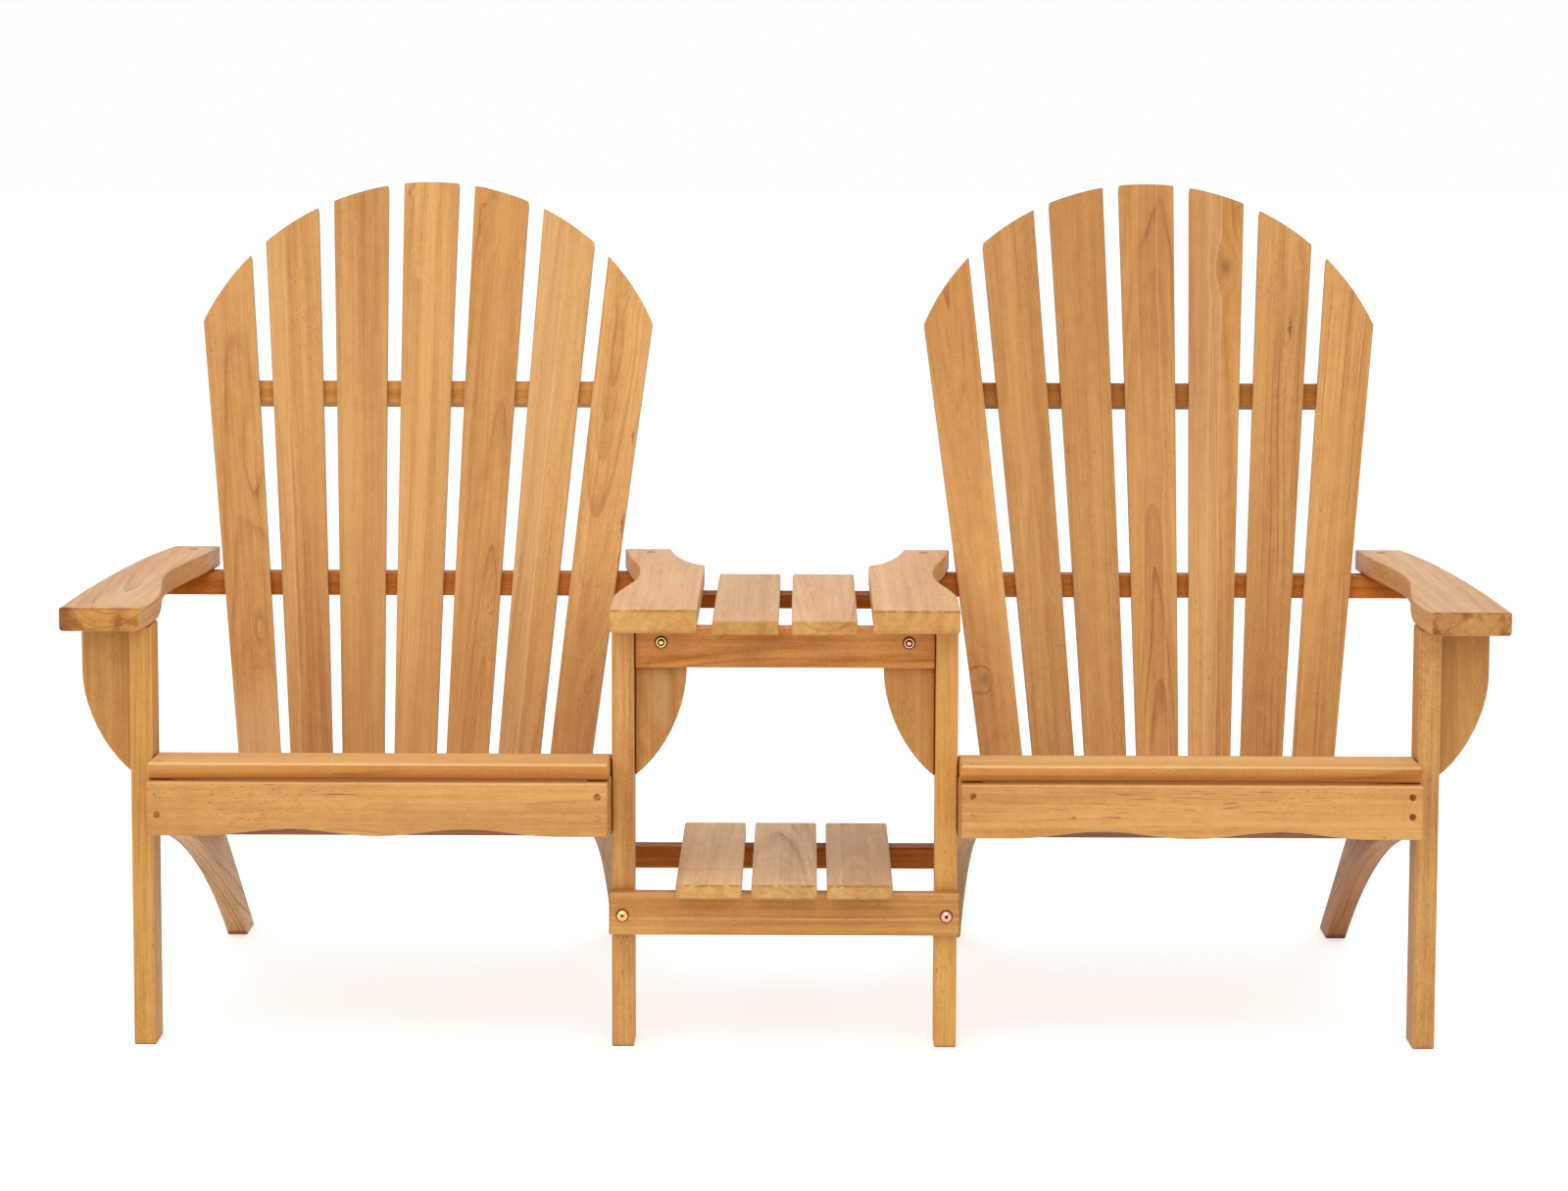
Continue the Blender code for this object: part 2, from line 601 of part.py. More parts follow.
def add_shelf(assembly):
    """Three slats on a rail across the legs and a rail between the side rails."""
    half = TABLE_BAY_WIDTH / 2 + LEG_THICKNESS + SHELF_RAIL_OVERHANG
    rail = add_board(assembly, "shelf_front_rail",
                     rectangle(-half, half, SHELF_RAIL_TOP - SHELF_RAIL_HEIGHT, SHELF_RAIL_TOP), "Y",
                     (SHELF_RAIL_FRONT, SHELF_RAIL_FRONT + SHELF_RAIL_THICKNESS), 0)
    half = TABLE_BAY_WIDTH / 2 + LEG_THICKNESS
    rear = SHELF_REAR - SHELF_REAR_OVERHANG
    add_board(assembly, "shelf_rear_rail",
              rectangle(-half, half, SHELF_RAIL_TOP - SHELF_REAR_RAIL_HEIGHT, SHELF_RAIL_TOP), "Y",
              (rear - SHELF_REAR_RAIL_THICKNESS, rear), 3)
    pitch = TABLE_SLAT_WIDTH + SHELF_SLAT_GAP
    bottom = SHELF_RAIL_TOP + SEAT_GAP
    for number, label in enumerate(("left", "middle", "right")):
        middle = (number - 1) * pitch
        outline = rectangle(middle - TABLE_SLAT_WIDTH / 2, middle + TABLE_SLAT_WIDTH / 2,
                            SHELF_FRONT, SHELF_REAR)
        add_board(assembly, f"shelf_slat_{label}", outline, "Z", (bottom, bottom + TABLE_SLAT_THICKNESS),
                  number + 1, SLAT_EDGE_EASE)
    return rail


def bolt_ring(radius, height, corners=0):
    """A ring of points round Z: a circle, or a polygon with that many corners."""
    points = []
    for step in range(BOLT_SIDES):
        angle = 2 * math.pi * step / BOLT_SIDES
        reach = radius
        if corners:
            sector = 2 * math.pi / corners
            reach = radius / math.cos(angle % sector - sector / 2)
        points.append((reach * math.cos(angle), reach * math.sin(angle), height))
    return points


def bolt_mesh():
    """A round-headed bolt with a hexagon socket, along Z, with the wood's face at zero."""
    top = SEAT_GAP + BOLT_HEAD_HEIGHT
    rings = [bolt_ring(BOLT_SHANK_RADIUS, SEAT_GAP - BOLT_LENGTH),
             bolt_ring(BOLT_SHANK_RADIUS, SEAT_GAP),
             bolt_ring(BOLT_HEAD_RADIUS, SEAT_GAP),
             bolt_ring(BOLT_HEAD_RADIUS, top - BOLT_HEAD_ROUND),
             bolt_ring(BOLT_HEAD_RADIUS - BOLT_HEAD_ROUND, top),
             bolt_ring(SOCKET_WIDTH / 2, top, SOCKET_SIDES),
             bolt_ring(SOCKET_WIDTH / 2, top - SOCKET_DEPTH, SOCKET_SIDES)]
    shape = bmesh.new()
    rows = [[shape.verts.new(point) for point in ring] for ring in rings]
    shape.faces.new(rows[0])
    shape.faces.new(rows[-1])
    for lower, upper in zip(rows, rows[1:]):
        for index in range(BOLT_SIDES):
            after = (index + 1) % BOLT_SIDES
            shape.faces.new((lower[index], lower[after], upper[after], upper[index]))
    return finish_mesh(shape, "bolt")


def hole_mesh():
    """The drilled hole that a bolt's shank goes into."""
    shape = bmesh.new()
    bmesh.ops.create_cone(shape, cap_ends=True, segments=BOLT_SIDES, radius1=BOLT_SHANK_RADIUS + SEAT_GAP,
                          radius2=BOLT_SHANK_RADIUS + SEAT_GAP, depth=BOLT_LENGTH + CUT_OVERRUN,
                          matrix=Matrix.Translation((0.0, 0.0, (CUT_OVERRUN - BOLT_LENGTH) / 2)))
    return finish_mesh(shape, "bolt_hole")


def add_bolt(assembly, name, x, y, z, mesh, hole, boards):
    """A bolt into a front face, and its hole through the boards that it joins."""
    frame = Matrix.Translation((x, y, z)) @ Matrix.Rotation(math.pi / 2, 4, "X")
    place(assembly, name, mesh, frame)
    cutter = place(assembly, name + "_hole", hole, frame)
    cutter.hide_render = True
    cutter.display_type = "WIRE"
    for board in boards:
        cut = board.modifiers.new(name + "_hole", "BOOLEAN")
        cut.operation = "DIFFERENCE"
        cut.solver = "EXACT"
        cut.object = cutter


def add_bolts(assembly, chairs, legs, brackets, table_rail, shelf_rail):
    """Two bolts through the table's rail into the brackets and two through the shelf's into the legs."""
    mesh = bolt_mesh()
    mesh.materials.append(add_material("bolt_brass", BRASS_COLOUR, BRASS_ROUGHNESS, 1))
    hole = hole_mesh()
    table_x = TABLE_BAY_WIDTH / 2 - TABLE_BOLT_INSET
    shelf_x = TABLE_BAY_WIDTH / 2 + LEG_THICKNESS / 2
    for chair in chairs:
        add_bolt(assembly, f"table_bolt_{chair.name}", chair.side * table_x, TABLE_RAIL_FRONT,
                 LEG_HEIGHT - TABLE_BOLT_DROP, mesh, hole, (table_rail, brackets[chair.name]["inner"]))
        add_bolt(assembly, f"shelf_bolt_{chair.name}", chair.side * shelf_x, SHELF_RAIL_FRONT,
                 SHELF_RAIL_TOP - SHELF_BOLT_DROP, mesh, hole, (shelf_rail, legs[chair.name]["inner"]))


def build():
    clear_scene()
    assembly = add_empty("double_lounge_chair", (0.0, -DEPTH_CENTRE, 0.0))
    chairs = [Chair("left", -1, assembly), Chair("right", 1, assembly)]
    legs = {}
    brackets = {}
    for chair in chairs:
        legs[chair.name] = add_front_legs(chair)
        brackets[chair.name] = add_brackets(chair)
        add_side_rails(chair)
        add_front_apron(chair)
        add_seat_slats(chair)
        add_back(chair)
        add_arm_rail(chair)
        add_arms(chair)
    table_rail = add_table(assembly)
    shelf_rail = add_shelf(assembly)
    add_bolts(assembly, chairs, legs, brackets, table_rail, shelf_rail)


build()
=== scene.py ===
"""The double lounge chair as photographed: teak boards with their own grain, brass bolts, wooden plugs."""
import math
import random

import bmesh
import bpy
import numpy as np
from mathutils import Matrix, Vector


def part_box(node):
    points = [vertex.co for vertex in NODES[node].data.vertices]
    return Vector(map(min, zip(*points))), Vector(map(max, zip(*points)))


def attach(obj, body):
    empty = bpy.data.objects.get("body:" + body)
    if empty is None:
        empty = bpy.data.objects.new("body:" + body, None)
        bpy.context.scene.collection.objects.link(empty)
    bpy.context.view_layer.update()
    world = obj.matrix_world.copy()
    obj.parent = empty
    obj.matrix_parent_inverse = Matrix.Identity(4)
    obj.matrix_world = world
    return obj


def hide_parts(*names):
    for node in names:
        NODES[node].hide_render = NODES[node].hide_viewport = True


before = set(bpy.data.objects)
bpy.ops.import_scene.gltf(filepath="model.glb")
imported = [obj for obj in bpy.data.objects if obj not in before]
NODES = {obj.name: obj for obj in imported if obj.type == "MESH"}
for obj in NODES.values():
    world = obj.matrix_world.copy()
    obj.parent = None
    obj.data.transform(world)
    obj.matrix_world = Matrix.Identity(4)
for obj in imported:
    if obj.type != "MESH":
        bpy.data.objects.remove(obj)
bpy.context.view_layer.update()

# Camera: where it stands from the legs' front face, how it is turned, and its focal length in pixels
PHOTO_WIDTH = 1600
SENSOR_WIDTH = 36.0
CAMERA_X = 0.02237
CAMERA_DISTANCE = 5.40043
CAMERA_HEIGHT = 1.18359
CAMERA_YAW = 0.00441
CAMERA_PITCH = -0.11956
CAMERA_ROLL = -0.00287
FOCAL_PIXELS = 4772.845

# The back: slats of each chair, how far it leans, and how much further out each slat leans than the last
BACK_SLATS = 7
RECLINE = math.radians(24.4)
FAN_STEP = 0.0354

# Directions of the grain, which runs straight through the side rails' bent boards
ALONG_X = (1, 0, 0)
ALONG_Y = (0, 1, 0)
ALONG_Z = (0, 0, 1)
RAIL_GRAIN = (0, 0.94, -0.34)

# Lamps: name, place, target, size and power in watts
LAMPS = (
    ("overhead", (0.0, -1.2, 3.4), (0.0, 0.1, 0.5), (4.6, 3.2), 50.0),
    ("front", (-0.6, -4.6, 2.3), (0.0, 0.0, 0.5), (4.0, 2.4), 54.0),
)
LAMP_COLOUR = (1.0, 0.985, 0.96)
WHITE = (1.0, 1.0, 1.0, 1.0)

# Light from the surroundings, the floor's colour, and the light that only the camera and clear reflections
# see on the floor
WORLD_LIGHT = 0.64
FLOOR_COLOUR = (0.82, 0.82, 0.82, 1.0)
FLOOR_LIFT = 0.62
FLOOR_HALF_SIZE = 30.0

# Plugs: sizes, how far each stands out of its board and reaches into it, its chamfer's start as a share of
# its height, its top's two rings as shares of its radius, and its outline's corners
PLUG_RADIUS = 0.0040
ARM_PLUG_RADIUS = 0.0060
PLUG_PROUD = 0.00025
PLUG_DEPTH = 0.0006
PLUG_CHAMFER = 0.6
PLUG_TOP = 0.93
PLUG_MIDDLE = 0.3
PLUG_SIDES = 24
ARM_PLUG_SIDES = 32

# Where plugs sit: on the front seat slats from the ends, from the front and below the highest point, with
# the slope there; on the arms from the rear end, and on the inner arms from the middle of the whole
NOSE_PLUG_INSET = 0.0135
NOSE_PLUG_BACK = 0.020
NOSE_PLUG_DOWN = 0.0004
NOSE_SLOPE = math.radians(-1.5)
ARM_PLUG_INSET = 0.0360
INNER_ARM_PLUG_X = 0.1743

# How near to an arm's rear end its points belong to that end, and how many points belong to each end of
# a back slat
REAR_END_REACH = 0.004
END_POINTS = 8

# Sizes of the bolts, the corners of their outline, how rough their metal is, and how much darker a groove
# gets in places
BOLT_RADIUS = 0.0064
HEAD_HEIGHT = 0.0024
BOLT_SHANK_RADIUS = 0.003
BOLT_SHANK_END = -0.036
SOCKET_RADIUS = 0.0019
BOLT_SIDES = 48
BRASS_ROUGHNESS = 0.14
GROOVE_ROUGHNESS = 0.5
GROOVE_DEEPEST = 0.5

# The painted shadow round a bolt: how far past the head it is full and ends, how much higher its middle lies
# than the bolt's, and how dark it is
BOLT_SHADE_FULL = 0.0010
BOLT_SHADE_END = 0.0021
BOLT_SHADE_LIFT = 0.0005
BOLT_SHADE_DARK = 0.9

# Edges that are sharper than this are shaded as corners
SHARP_ANGLE = math.radians(40)

# A board's bump: its strength and its height in metres
BUMP_STRENGTH = 0.35
BUMP_HEIGHT = 0.0004


def colour(red, green, blue):
    """Linear colour from display values of 0 to 255."""
    linear = []
    for value in (red, green, blue):
        share = value / 255
        linear.append(share / 12.92 if share <= 0.04045 else ((share + 0.055) / 1.055) ** 2.4)
    return (*linear, 1.0)


# Woods: pale and dark grain of each tone
WOODS = {
    "golden": (colour(225, 170, 97), colour(178, 113, 46)),
    "pale": (colour(236, 184, 114), colour(198, 138, 68)),
    "orange": (colour(213, 148, 76), colour(164, 98, 36)),
    "brown": (colour(192, 120, 46), colour(132, 66, 12)),
    "rose": (colour(226, 180, 130), colour(194, 140, 88)),
    "grey": (colour(226, 189, 136), colour(182, 142, 94)),
    "straw": (colour(226, 171, 90), colour(188, 126, 48)),
}

# Tints laid over the wood, as shares of red, green and blue
TINGE = (0.97, 0.90, 0.76, 1.0)
LINE_TINT = (0.64, 0.48, 0.33, 1.0)
FLECK_TINT = (0.52, 0.37, 0.25, 1.0)
DASH_TINT = (0.42, 0.27, 0.16, 1.0)
FOOT_TINT = (0.80, 0.72, 0.60, 1.0)
HEAD_TINT = (0.84, 0.74, 0.55, 1.0)
MARK_TINT = (0.46, 0.29, 0.17, 1.0)
# Painted shade on a front seat slat's front face
FRONT_SHADE_TINT = (0.70, 0.44, 0.15, 1.0)
STAIN_TINT = (0.55, 0.36, 0.20, 1.0)

# Colours that the wood goes towards: paler places, worn edges with a painted highlight, and the middle of a
# knot, which also colours the painted shadow round a bolt
PALER = (1.0, 0.90, 0.72, 1.0)
EDGE_WEAR_AND_HIGHLIGHT = (1.0, 0.86, 0.62, 1.0)
KNOT_AND_SHADOW_BROWN = (0.115, 0.048, 0.018, 1.0)

# How far a seam and a split wander to the side along a board, how much a knot bends a split, and the half
# width and paleness of the line along a split
SEAM_WAVE = 0.006
SPLIT_WAVE = 0.012
SPLIT_BEND = 0.003
SPLIT_LINE = 0.0016
SPLIT_LINE_PALE = 0.22

# Painted shade on the front of a front seat slat: the way that face looks, as shares of forwards and down,
# and the heights above the board's middle at which the painted shade is weak and strong, with its strengths
# there
FRONT_LOOK = (0.8, 0.6)
FRONT_HEIGHTS = (0.008, -0.007)
FRONT_STRENGTHS = (0.5, 0.85)

# The stain along the top edge of end grain: how far below the board's top it starts and is full
RIM_START = 0.0034
RIM_FULL = 0.0020

# How far in from their edges lie the painted shade line along the front seat slats' rear edge and the stain
# on the left outer arm
REAR_SHADE_INSET = 0.0022
STAIN_INSET = 0.004

# Tints of end grain
GOLDEN_END = (0.97, 0.89, 0.52)
SHELF_END = (0.86, 0.76, 0.50)

# Painted shade in gaps and corners: how far round a point other boards count, then for two levels how open
# a place is where the painted shade starts and where it is full, and its tint
GAP_SHADE_REACH = 0.012
GAP_SHADE_LEVELS = (
    (0.78, 0.30, (0.74, 0.52, 0.34, 1.0)),
    (0.34, 0.10, (0.40, 0.18, 0.08, 1.0)),
)

# Inputs of the teak group. Place is the board's own place in metres: x along the grain, y across, z through
# it. Seed shifts the noise. Pith and the tilts say where the tree's middle runs, Ring is a ring's width, and
# Knot bends the rings. Lines to Dashes are strengths of the grain's parts. Fade and Head darken a slat's foot
# and head, Front is painted shade on its front, Mark is a dark place above 0 and a pale one below, and Dark
# is a knot's middle or the painted shadow round a bolt. End and Edge say where end grain and edges are, the
# edges worn and with a painted highlight, Stain and Rim darken end grain, and Hollow is the strength of the
# painted shade in gaps and corners.
TEAK_INPUTS = (
    ("Vector", ("Place", "Seed", "Pith")),
    ("Float", ("Tilt Y", "Tilt Z", "Ring", "Knot")),
    ("Float", ("Lines", "Bands", "Fine", "Dashes")),
    ("Float", ("Fade", "Head", "Front", "Mark", "Dark")),
    ("Float", ("End", "Edge", "Stain", "Rim", "Hollow")),
    ("Color", ("Pale", "Deep", "End Tint")),
)

# Strengths that a board has where its own line says nothing else
USUAL_STRENGTHS = {
    "lines": 0.8,
    "bands": 0.9,
    "fine": 1.0,
    "dashes": 0.0,
    "fade": 0.0,
    "head": 0.0,
    "stain": 0.3,
    "hollow": 1.0,
}


def node(tree, kind, **settings):
    """A new shader node with its settings."""
    made = tree.nodes.new(kind)
    for key, value in settings.items():
        setattr(made, key, value)
    return made


class Graph:
    """Short calls that add shader nodes and join them; each gives the new node's output."""

    def __init__(self, tree):
        self.tree = tree

    def put(self, value, socket):
        """Joins an output to a socket, or sets the socket's own value."""
        if isinstance(value, bpy.types.NodeSocket):
            self.tree.links.new(value, socket)
        elif value is not None:
            socket.default_value = value

    def math(self, operation, first, second=None, third=None, clamp=False):
        made = node(self.tree, "ShaderNodeMath", operation=operation, use_clamp=clamp)
        for value, socket in zip((first, second, third), made.inputs):
            self.put(value, socket)
        return made.outputs[0]

    def vector(self, operation, first, second=None, scale=None):
        made = node(self.tree, "ShaderNodeVectorMath", operation=operation)
        self.put(first, made.inputs[0])
        self.put(second, made.inputs[1])
        self.put(scale, made.inputs[3])
        return made.outputs["Value" if operation == "DOT_PRODUCT" else "Vector"]

    def noise(self, where, scale, detail=2.0, rough=0.5, distort=0.0, wanted="Factor"):
        """Noise as one number, or as three where Color is wanted."""
        made = node(self.tree, "ShaderNodeTexNoise", noise_dimensions="3D")
        self.put(where, made.inputs["Vector"])
        made.inputs["Scale"].default_value = scale
        made.inputs["Detail"].default_value = detail
        made.inputs["Roughness"].default_value = rough
        made.inputs["Distortion"].default_value = distort
        return made.outputs[0 if wanted == "Factor" else 1]

    def remap(self, value, low, high, to_low=0.0, to_high=1.0, smooth=True):
        """Goes from one range to another; low may be above high."""
        kind = "SMOOTHSTEP" if smooth else "LINEAR"
        made = node(self.tree, "ShaderNodeMapRange", interpolation_type=kind)
        self.put(value, made.inputs["Value"])
        names = ("From Min", "From Max", "To Min", "To Max")
        for name, number in zip(names, (low, high, to_low, to_high)):
            made.inputs[name].default_value = number
        return made.outputs[0]

    def mix(self, factor, first, second, blend="MIX"):
        made = node(self.tree, "ShaderNodeMix", data_type="RGBA", blend_type=blend)
        self.put(factor, made.inputs[0])
        self.put(first, made.inputs[6])
        self.put(second, made.inputs[7])
        return made.outputs[2]

    def split(self, value):
        made = node(self.tree, "ShaderNodeSeparateXYZ")
        self.put(value, made.inputs[0])
        return made.outputs

    def join(self, x, y, z):
        made = node(self.tree, "ShaderNodeCombineXYZ")
        for value, socket in zip((x, y, z), made.inputs):
            self.put(value, socket)
        return made.outputs[0]

    def scatter(self, where, scale, detail, rough, reach):
        """A small offset each way, up to half of reach."""
        cloud = self.noise(where, scale, detail, rough, wanted="Color")
        return self.vector("SCALE", self.vector("SUBTRACT", cloud, (0.5, 0.5, 0.5)), scale=reach)

    def facing(self, normal, direction):
        """How much a normal points along a direction or against it, from 0 to 1."""
        return self.math("ABSOLUTE", self.vector("DOT_PRODUCT", normal, tuple(direction)))

    def squares(self, x, y):
        """The sum of two numbers' squares."""
        return self.math("ADD", self.math("MULTIPLY", x, x), self.math("MULTIPLY", y, y))

    def oval(self, place, middle, half):
        """Square of how far a place is from an oval's middle, where 1 is the oval's outline."""
        off_x = self.math("MULTIPLY", self.math("SUBTRACT", place[0], middle[0]), 1 / half[0])
        off_y = self.math("MULTIPLY", self.math("SUBTRACT", place[1], middle[1]), 1 / half[1])
        return self.squares(off_x, off_y)


def teak_group():
    """Solid teak: growth rings round a pith outside the board, with fibres and pores along it."""
    tree = bpy.data.node_groups.new("teak", "ShaderNodeTree")
    for kind, names in TEAK_INPUTS:
        for name in names:
            tree.interface.new_socket(name=name, in_out="INPUT", socket_type="NodeSocket" + kind)
    for name, kind in (("Color", "Color"), ("Roughness", "Float"), ("Height", "Float")):
        tree.interface.new_socket(name=name, in_out="OUTPUT", socket_type="NodeSocket" + kind)
    enter = node(tree, "NodeGroupInput").outputs
    leave = node(tree, "NodeGroupOutput").inputs
    g = Graph(tree)

    seeded = g.vector("ADD", enter["Place"], enter["Seed"])

    def streaky(along, across, detail=2.0, rough=0.5, distort=0.0):
        """Noise with so many features in a metre along the grain and across it."""
        return g.noise(g.vector("MULTIPLY", seeded, (along, across, across)), 1.0, detail, rough, distort)

    # Distance from the pith, bent over the board's length and rippled, makes the rings
    bend = g.scatter(g.vector("MULTIPLY", seeded, (1.5, 9.0, 9.0)), 1.0, 2.0, 0.5, 0.026)
    ripple = g.scatter(g.vector("MULTIPLY", seeded, (12.0, 45.0, 45.0)), 1.0, 3.0, 0.6, 0.0030)
    place = g.vector("ADD", g.vector("ADD", g.vector("ADD", enter["Place"], enter["Pith"]), bend), ripple)
    along = g.split(enter["Place"])[0]
    y = g.math("MULTIPLY_ADD", along, enter["Tilt Y"], g.split(place)[1])
    z = g.math("MULTIPLY_ADD", along, enter["Tilt Z"], g.split(place)[2])
    radius = g.math("SQRT", g.squares(y, z))
    rings = g.math("ADD", g.math("DIVIDE", radius, enter["Ring"]), enter["Knot"])

    # Each ring ends in a thin dark line of late wood, by chance strong or weak
    uneven = g.noise(g.join(0.0, g.math("MULTIPLY", rings, 0.31), enter["Tilt Z"]), 1.0, 1.0)
    phase = g.math("MULTIPLY_ADD", uneven, 3.4, rings)
    turn = g.math("FRACT", phase)
    late = g.math("MULTIPLY", g.remap(turn, 0.55, 0.95), g.remap(turn, 1.0, 0.96))
    chance = node(tree, "ShaderNodeTexWhiteNoise", noise_dimensions="2D")
    g.put(g.join(g.math("FLOOR", phase), enter["Tilt Y"], 0.0), chance.inputs["Vector"])
    chance = chance.outputs["Value"]
    chance = g.math("MULTIPLY", chance, chance)
    fading = g.remap(streaky(3.2, 22.0), 0.36, 0.62)
    lines = g.math("MULTIPLY", g.math("MULTIPLY", late, chance), g.math("MULTIPLY", fading, enter["Lines"]))
    bands = g.noise(g.join(0.0, g.math("MULTIPLY", rings, 0.42), enter["Tilt Y"]), 1.0, 2.0, 0.6)

    # Fibres, specks, small and broad clouds, long streaks, and pores
    fibre = streaky(13.0, 640.0, 3.0, 0.6)
    grit = streaky(330.0, 620.0, 2.0, 0.7)
    mottle = streaky(46.0, 75.0, 3.0, 0.6)
    broad = streaky(1.5, 15.0, 2.0, 0.5, 0.4)
    streak = streaky(1.6, 125.0, 4.0, 0.6)
    flecks = g.remap(streaky(100.0, 760.0, 2.0, 0.5), 0.60, 0.70)
    flecks = g.math("MULTIPLY", flecks, g.remap(streaky(7.0, 26.0), 0.50, 0.68))

    # How far each point goes from the pale tone to the deep one
    depth = g.math("MULTIPLY_ADD", g.math("SUBTRACT", bands, 0.5), enter["Bands"], 0.40)
    for part, weight in ((broad, 1.25), (mottle, 0.5)):
        depth = g.math("MULTIPLY_ADD", g.math("SUBTRACT", part, 0.5), weight, depth)
    for part, weight in ((streak, 0.95), (fibre, 0.80), (grit, 0.75)):
        scaled = g.math("MULTIPLY", enter["Fine"], weight)
        depth = g.math("MULTIPLY_ADD", g.math("SUBTRACT", part, 0.5), scaled, depth)
    depth = g.math("MULTIPLY_ADD", lines, 0.25, depth, clamp=True)

    # The wood's colour, then what is laid over it: lines, pores, dashes, darker ends, marks, painted shade on
    # a slat's front and worn edges with a painted highlight
    wood = g.mix(depth, enter["Pale"], enter["Deep"])
    tinge = g.remap(streaky(2.4, 10.0), 0.42, 0.72, 0.0, 0.55)
    wood = shaded(g, wood, tinge, TINGE)
    wood = shaded(g, wood, g.math("MULTIPLY", lines, 0.9), LINE_TINT)
    wood = shaded(g, wood, g.math("MULTIPLY", flecks, 0.75), FLECK_TINT)
    dashes = g.remap(streaky(24.0, 560.0, 1.0), 0.66, 0.70)
    patches = g.remap(streaky(5.0, 40.0), 0.54, 0.62)
    dashes = g.math("MULTIPLY", g.math("MULTIPLY", dashes, patches), enter["Dashes"])
    wood = shaded(g, wood, dashes, DASH_TINT)
    wood = shaded(g, wood, g.math("MULTIPLY", g.remap(along, 0.05, -0.42), enter["Fade"]), FOOT_TINT)
    wood = shaded(g, wood, g.math("MULTIPLY", g.remap(along, -0.05, 0.42), enter["Head"]), HEAD_TINT)
    wood = shaded(g, wood, g.math("MULTIPLY", enter["Mark"], 1.0, clamp=True), MARK_TINT)
    lifted = g.mix(0.25, enter["Pale"], PALER)
    wood = g.mix(g.math("MULTIPLY", enter["Mark"], -1.0, clamp=True), wood, lifted)
    wood = shaded(g, wood, enter["Front"], FRONT_SHADE_TINT)
    # Worn edges, also lightened as a painted highlight on the chamfers
    wear_and_highlight = g.mix(0.35, enter["Pale"], EDGE_WEAR_AND_HIGHLIGHT)
    wood = g.mix(g.math("MULTIPLY", enter["Edge"], 0.30), wood, wear_and_highlight)

    # End grain with its stains, then knots, painted shadows round bolts and painted shade in gaps and corners
    end_noise = streaky(18.0, 36.0, 4.0, 0.62)
    end_wood = shaded(g, wood, 1.0, enter["End Tint"])
    stain = g.math("MULTIPLY", g.remap(end_noise, 0.48, 0.64), enter["Stain"])
    broken = g.remap(streaky(110.0, 110.0, 3.0, 0.6), 0.36, 0.52)
    stain = g.math("MAXIMUM", stain, g.math("MULTIPLY", broken, enter["Rim"]))
    end_wood = shaded(g, end_wood, stain, STAIN_TINT)
    wood = g.mix(enter["End"], wood, end_wood)
    wood = g.mix(enter["Dark"], wood, KNOT_AND_SHADOW_BROWN)
    # Painted shade in gaps and corners, darker where other boards are near
    hollow = node(tree, "ShaderNodeAmbientOcclusion", samples=6)
    hollow.inputs["Distance"].default_value = GAP_SHADE_REACH
    for start, full, tint in GAP_SHADE_LEVELS:
        painted_gap_shade = g.math("MULTIPLY", g.remap(hollow.outputs["AO"], start, full), enter["Hollow"])
        wood = shaded(g, wood, painted_gap_shade, tint)
    g.put(wood, leave["Color"])

    rough = g.math("MULTIPLY_ADD", fibre, 0.16, 0.42)
    g.put(g.math("MULTIPLY_ADD", depth, 0.06, rough), leave["Roughness"])
    height = g.math("MULTIPLY_ADD", flecks, -0.6, fibre)
    g.put(g.math("MULTIPLY_ADD", lines, 0.3, height), leave["Height"])
    return tree


def shaded(g, wood, factor, tint):
    """The wood with a tint laid over it, more or less by a factor of 0 to 1."""
    return g.mix(factor, wood, g.mix(1.0, wood, tint, "MULTIPLY"))


TEAK = teak_group()


def board_axes(name, grain):
    """Centre, turn and half thickness of a board: x along its grain, y across its width, z through it.

    Through is the way in which the board is thinnest, out of the axes and the way through the back slats.
    """
    mesh = NODES[name].data
    points = np.empty(len(mesh.vertices) * 3)
    mesh.vertices.foreach_get("co", points)
    points = points.reshape(-1, 3)
    middle = (points.min(axis=0) + points.max(axis=0)) / 2
    along = Vector(grain).normalized()
    thinnest = None
    for candidate in ((1, 0, 0), (0, 1, 0), (0, 0, 1), (0, -math.cos(RECLINE), math.sin(RECLINE))):
        through = Vector(candidate)
        through = through - through.dot(along) * along
        if through.length < 0.5:
            # This way runs nearly along the grain
            continue
        through.normalize()
        spread = np.ptp(points @ np.array(through))
        if thinnest is None or spread < thinnest[0] - 0.0005:
            thinnest = (spread, through)
    through = thinnest[1]
    across = through.cross(along)
    turn = Matrix((along, across, through)).transposed()
    return Vector(middle), turn, thinnest[0] / 2


def bolt_shadow_field(g, place, x, z, radius):
    """Painted shadow just outside a bolt, wider above it."""
    here = g.split(place)
    off_x = g.math("SUBTRACT", here[0], x)
    off_z = g.math("SUBTRACT", here[2], z + BOLT_SHADE_LIFT)
    reach = g.math("SQRT", g.squares(off_x, off_z))
    return g.remap(reach, radius + BOLT_SHADE_END, radius + BOLT_SHADE_FULL, 0.0, BOLT_SHADE_DARK)


def knot_field(g, place, knots):
    """Ring shift and darkness round knots, given as along, across, radius, swirl, darkness and stretch.

    A wide bell shifts the rings, and a narrow one with frayed edges is the knot's dark middle.
    """
    shift = None
    dark = None
    frayed = g.split(g.vector("ADD", place, g.scatter(place, 170.0, 3.0, 0.65, 0.007)))
    plain = g.split(place)
    for along, across, size, swirl, depth, stretch in knots:
        around = g.oval(plain, (along, across), (size * stretch, size))
        bell = g.math("MULTIPLY", g.math("EXPONENT", g.math("MULTIPLY", around, -0.55)), swirl)
        shift = bell if shift is None else g.math("ADD", shift, bell)
        inside = g.oval(frayed, (along, across), (size * stretch, size))
        core = g.math("MULTIPLY", g.math("EXPONENT", g.math("MULTIPLY", inside, -6.0)), depth)
        dark = core if dark is None else g.math("MAXIMUM", dark, core)
    return shift, dark


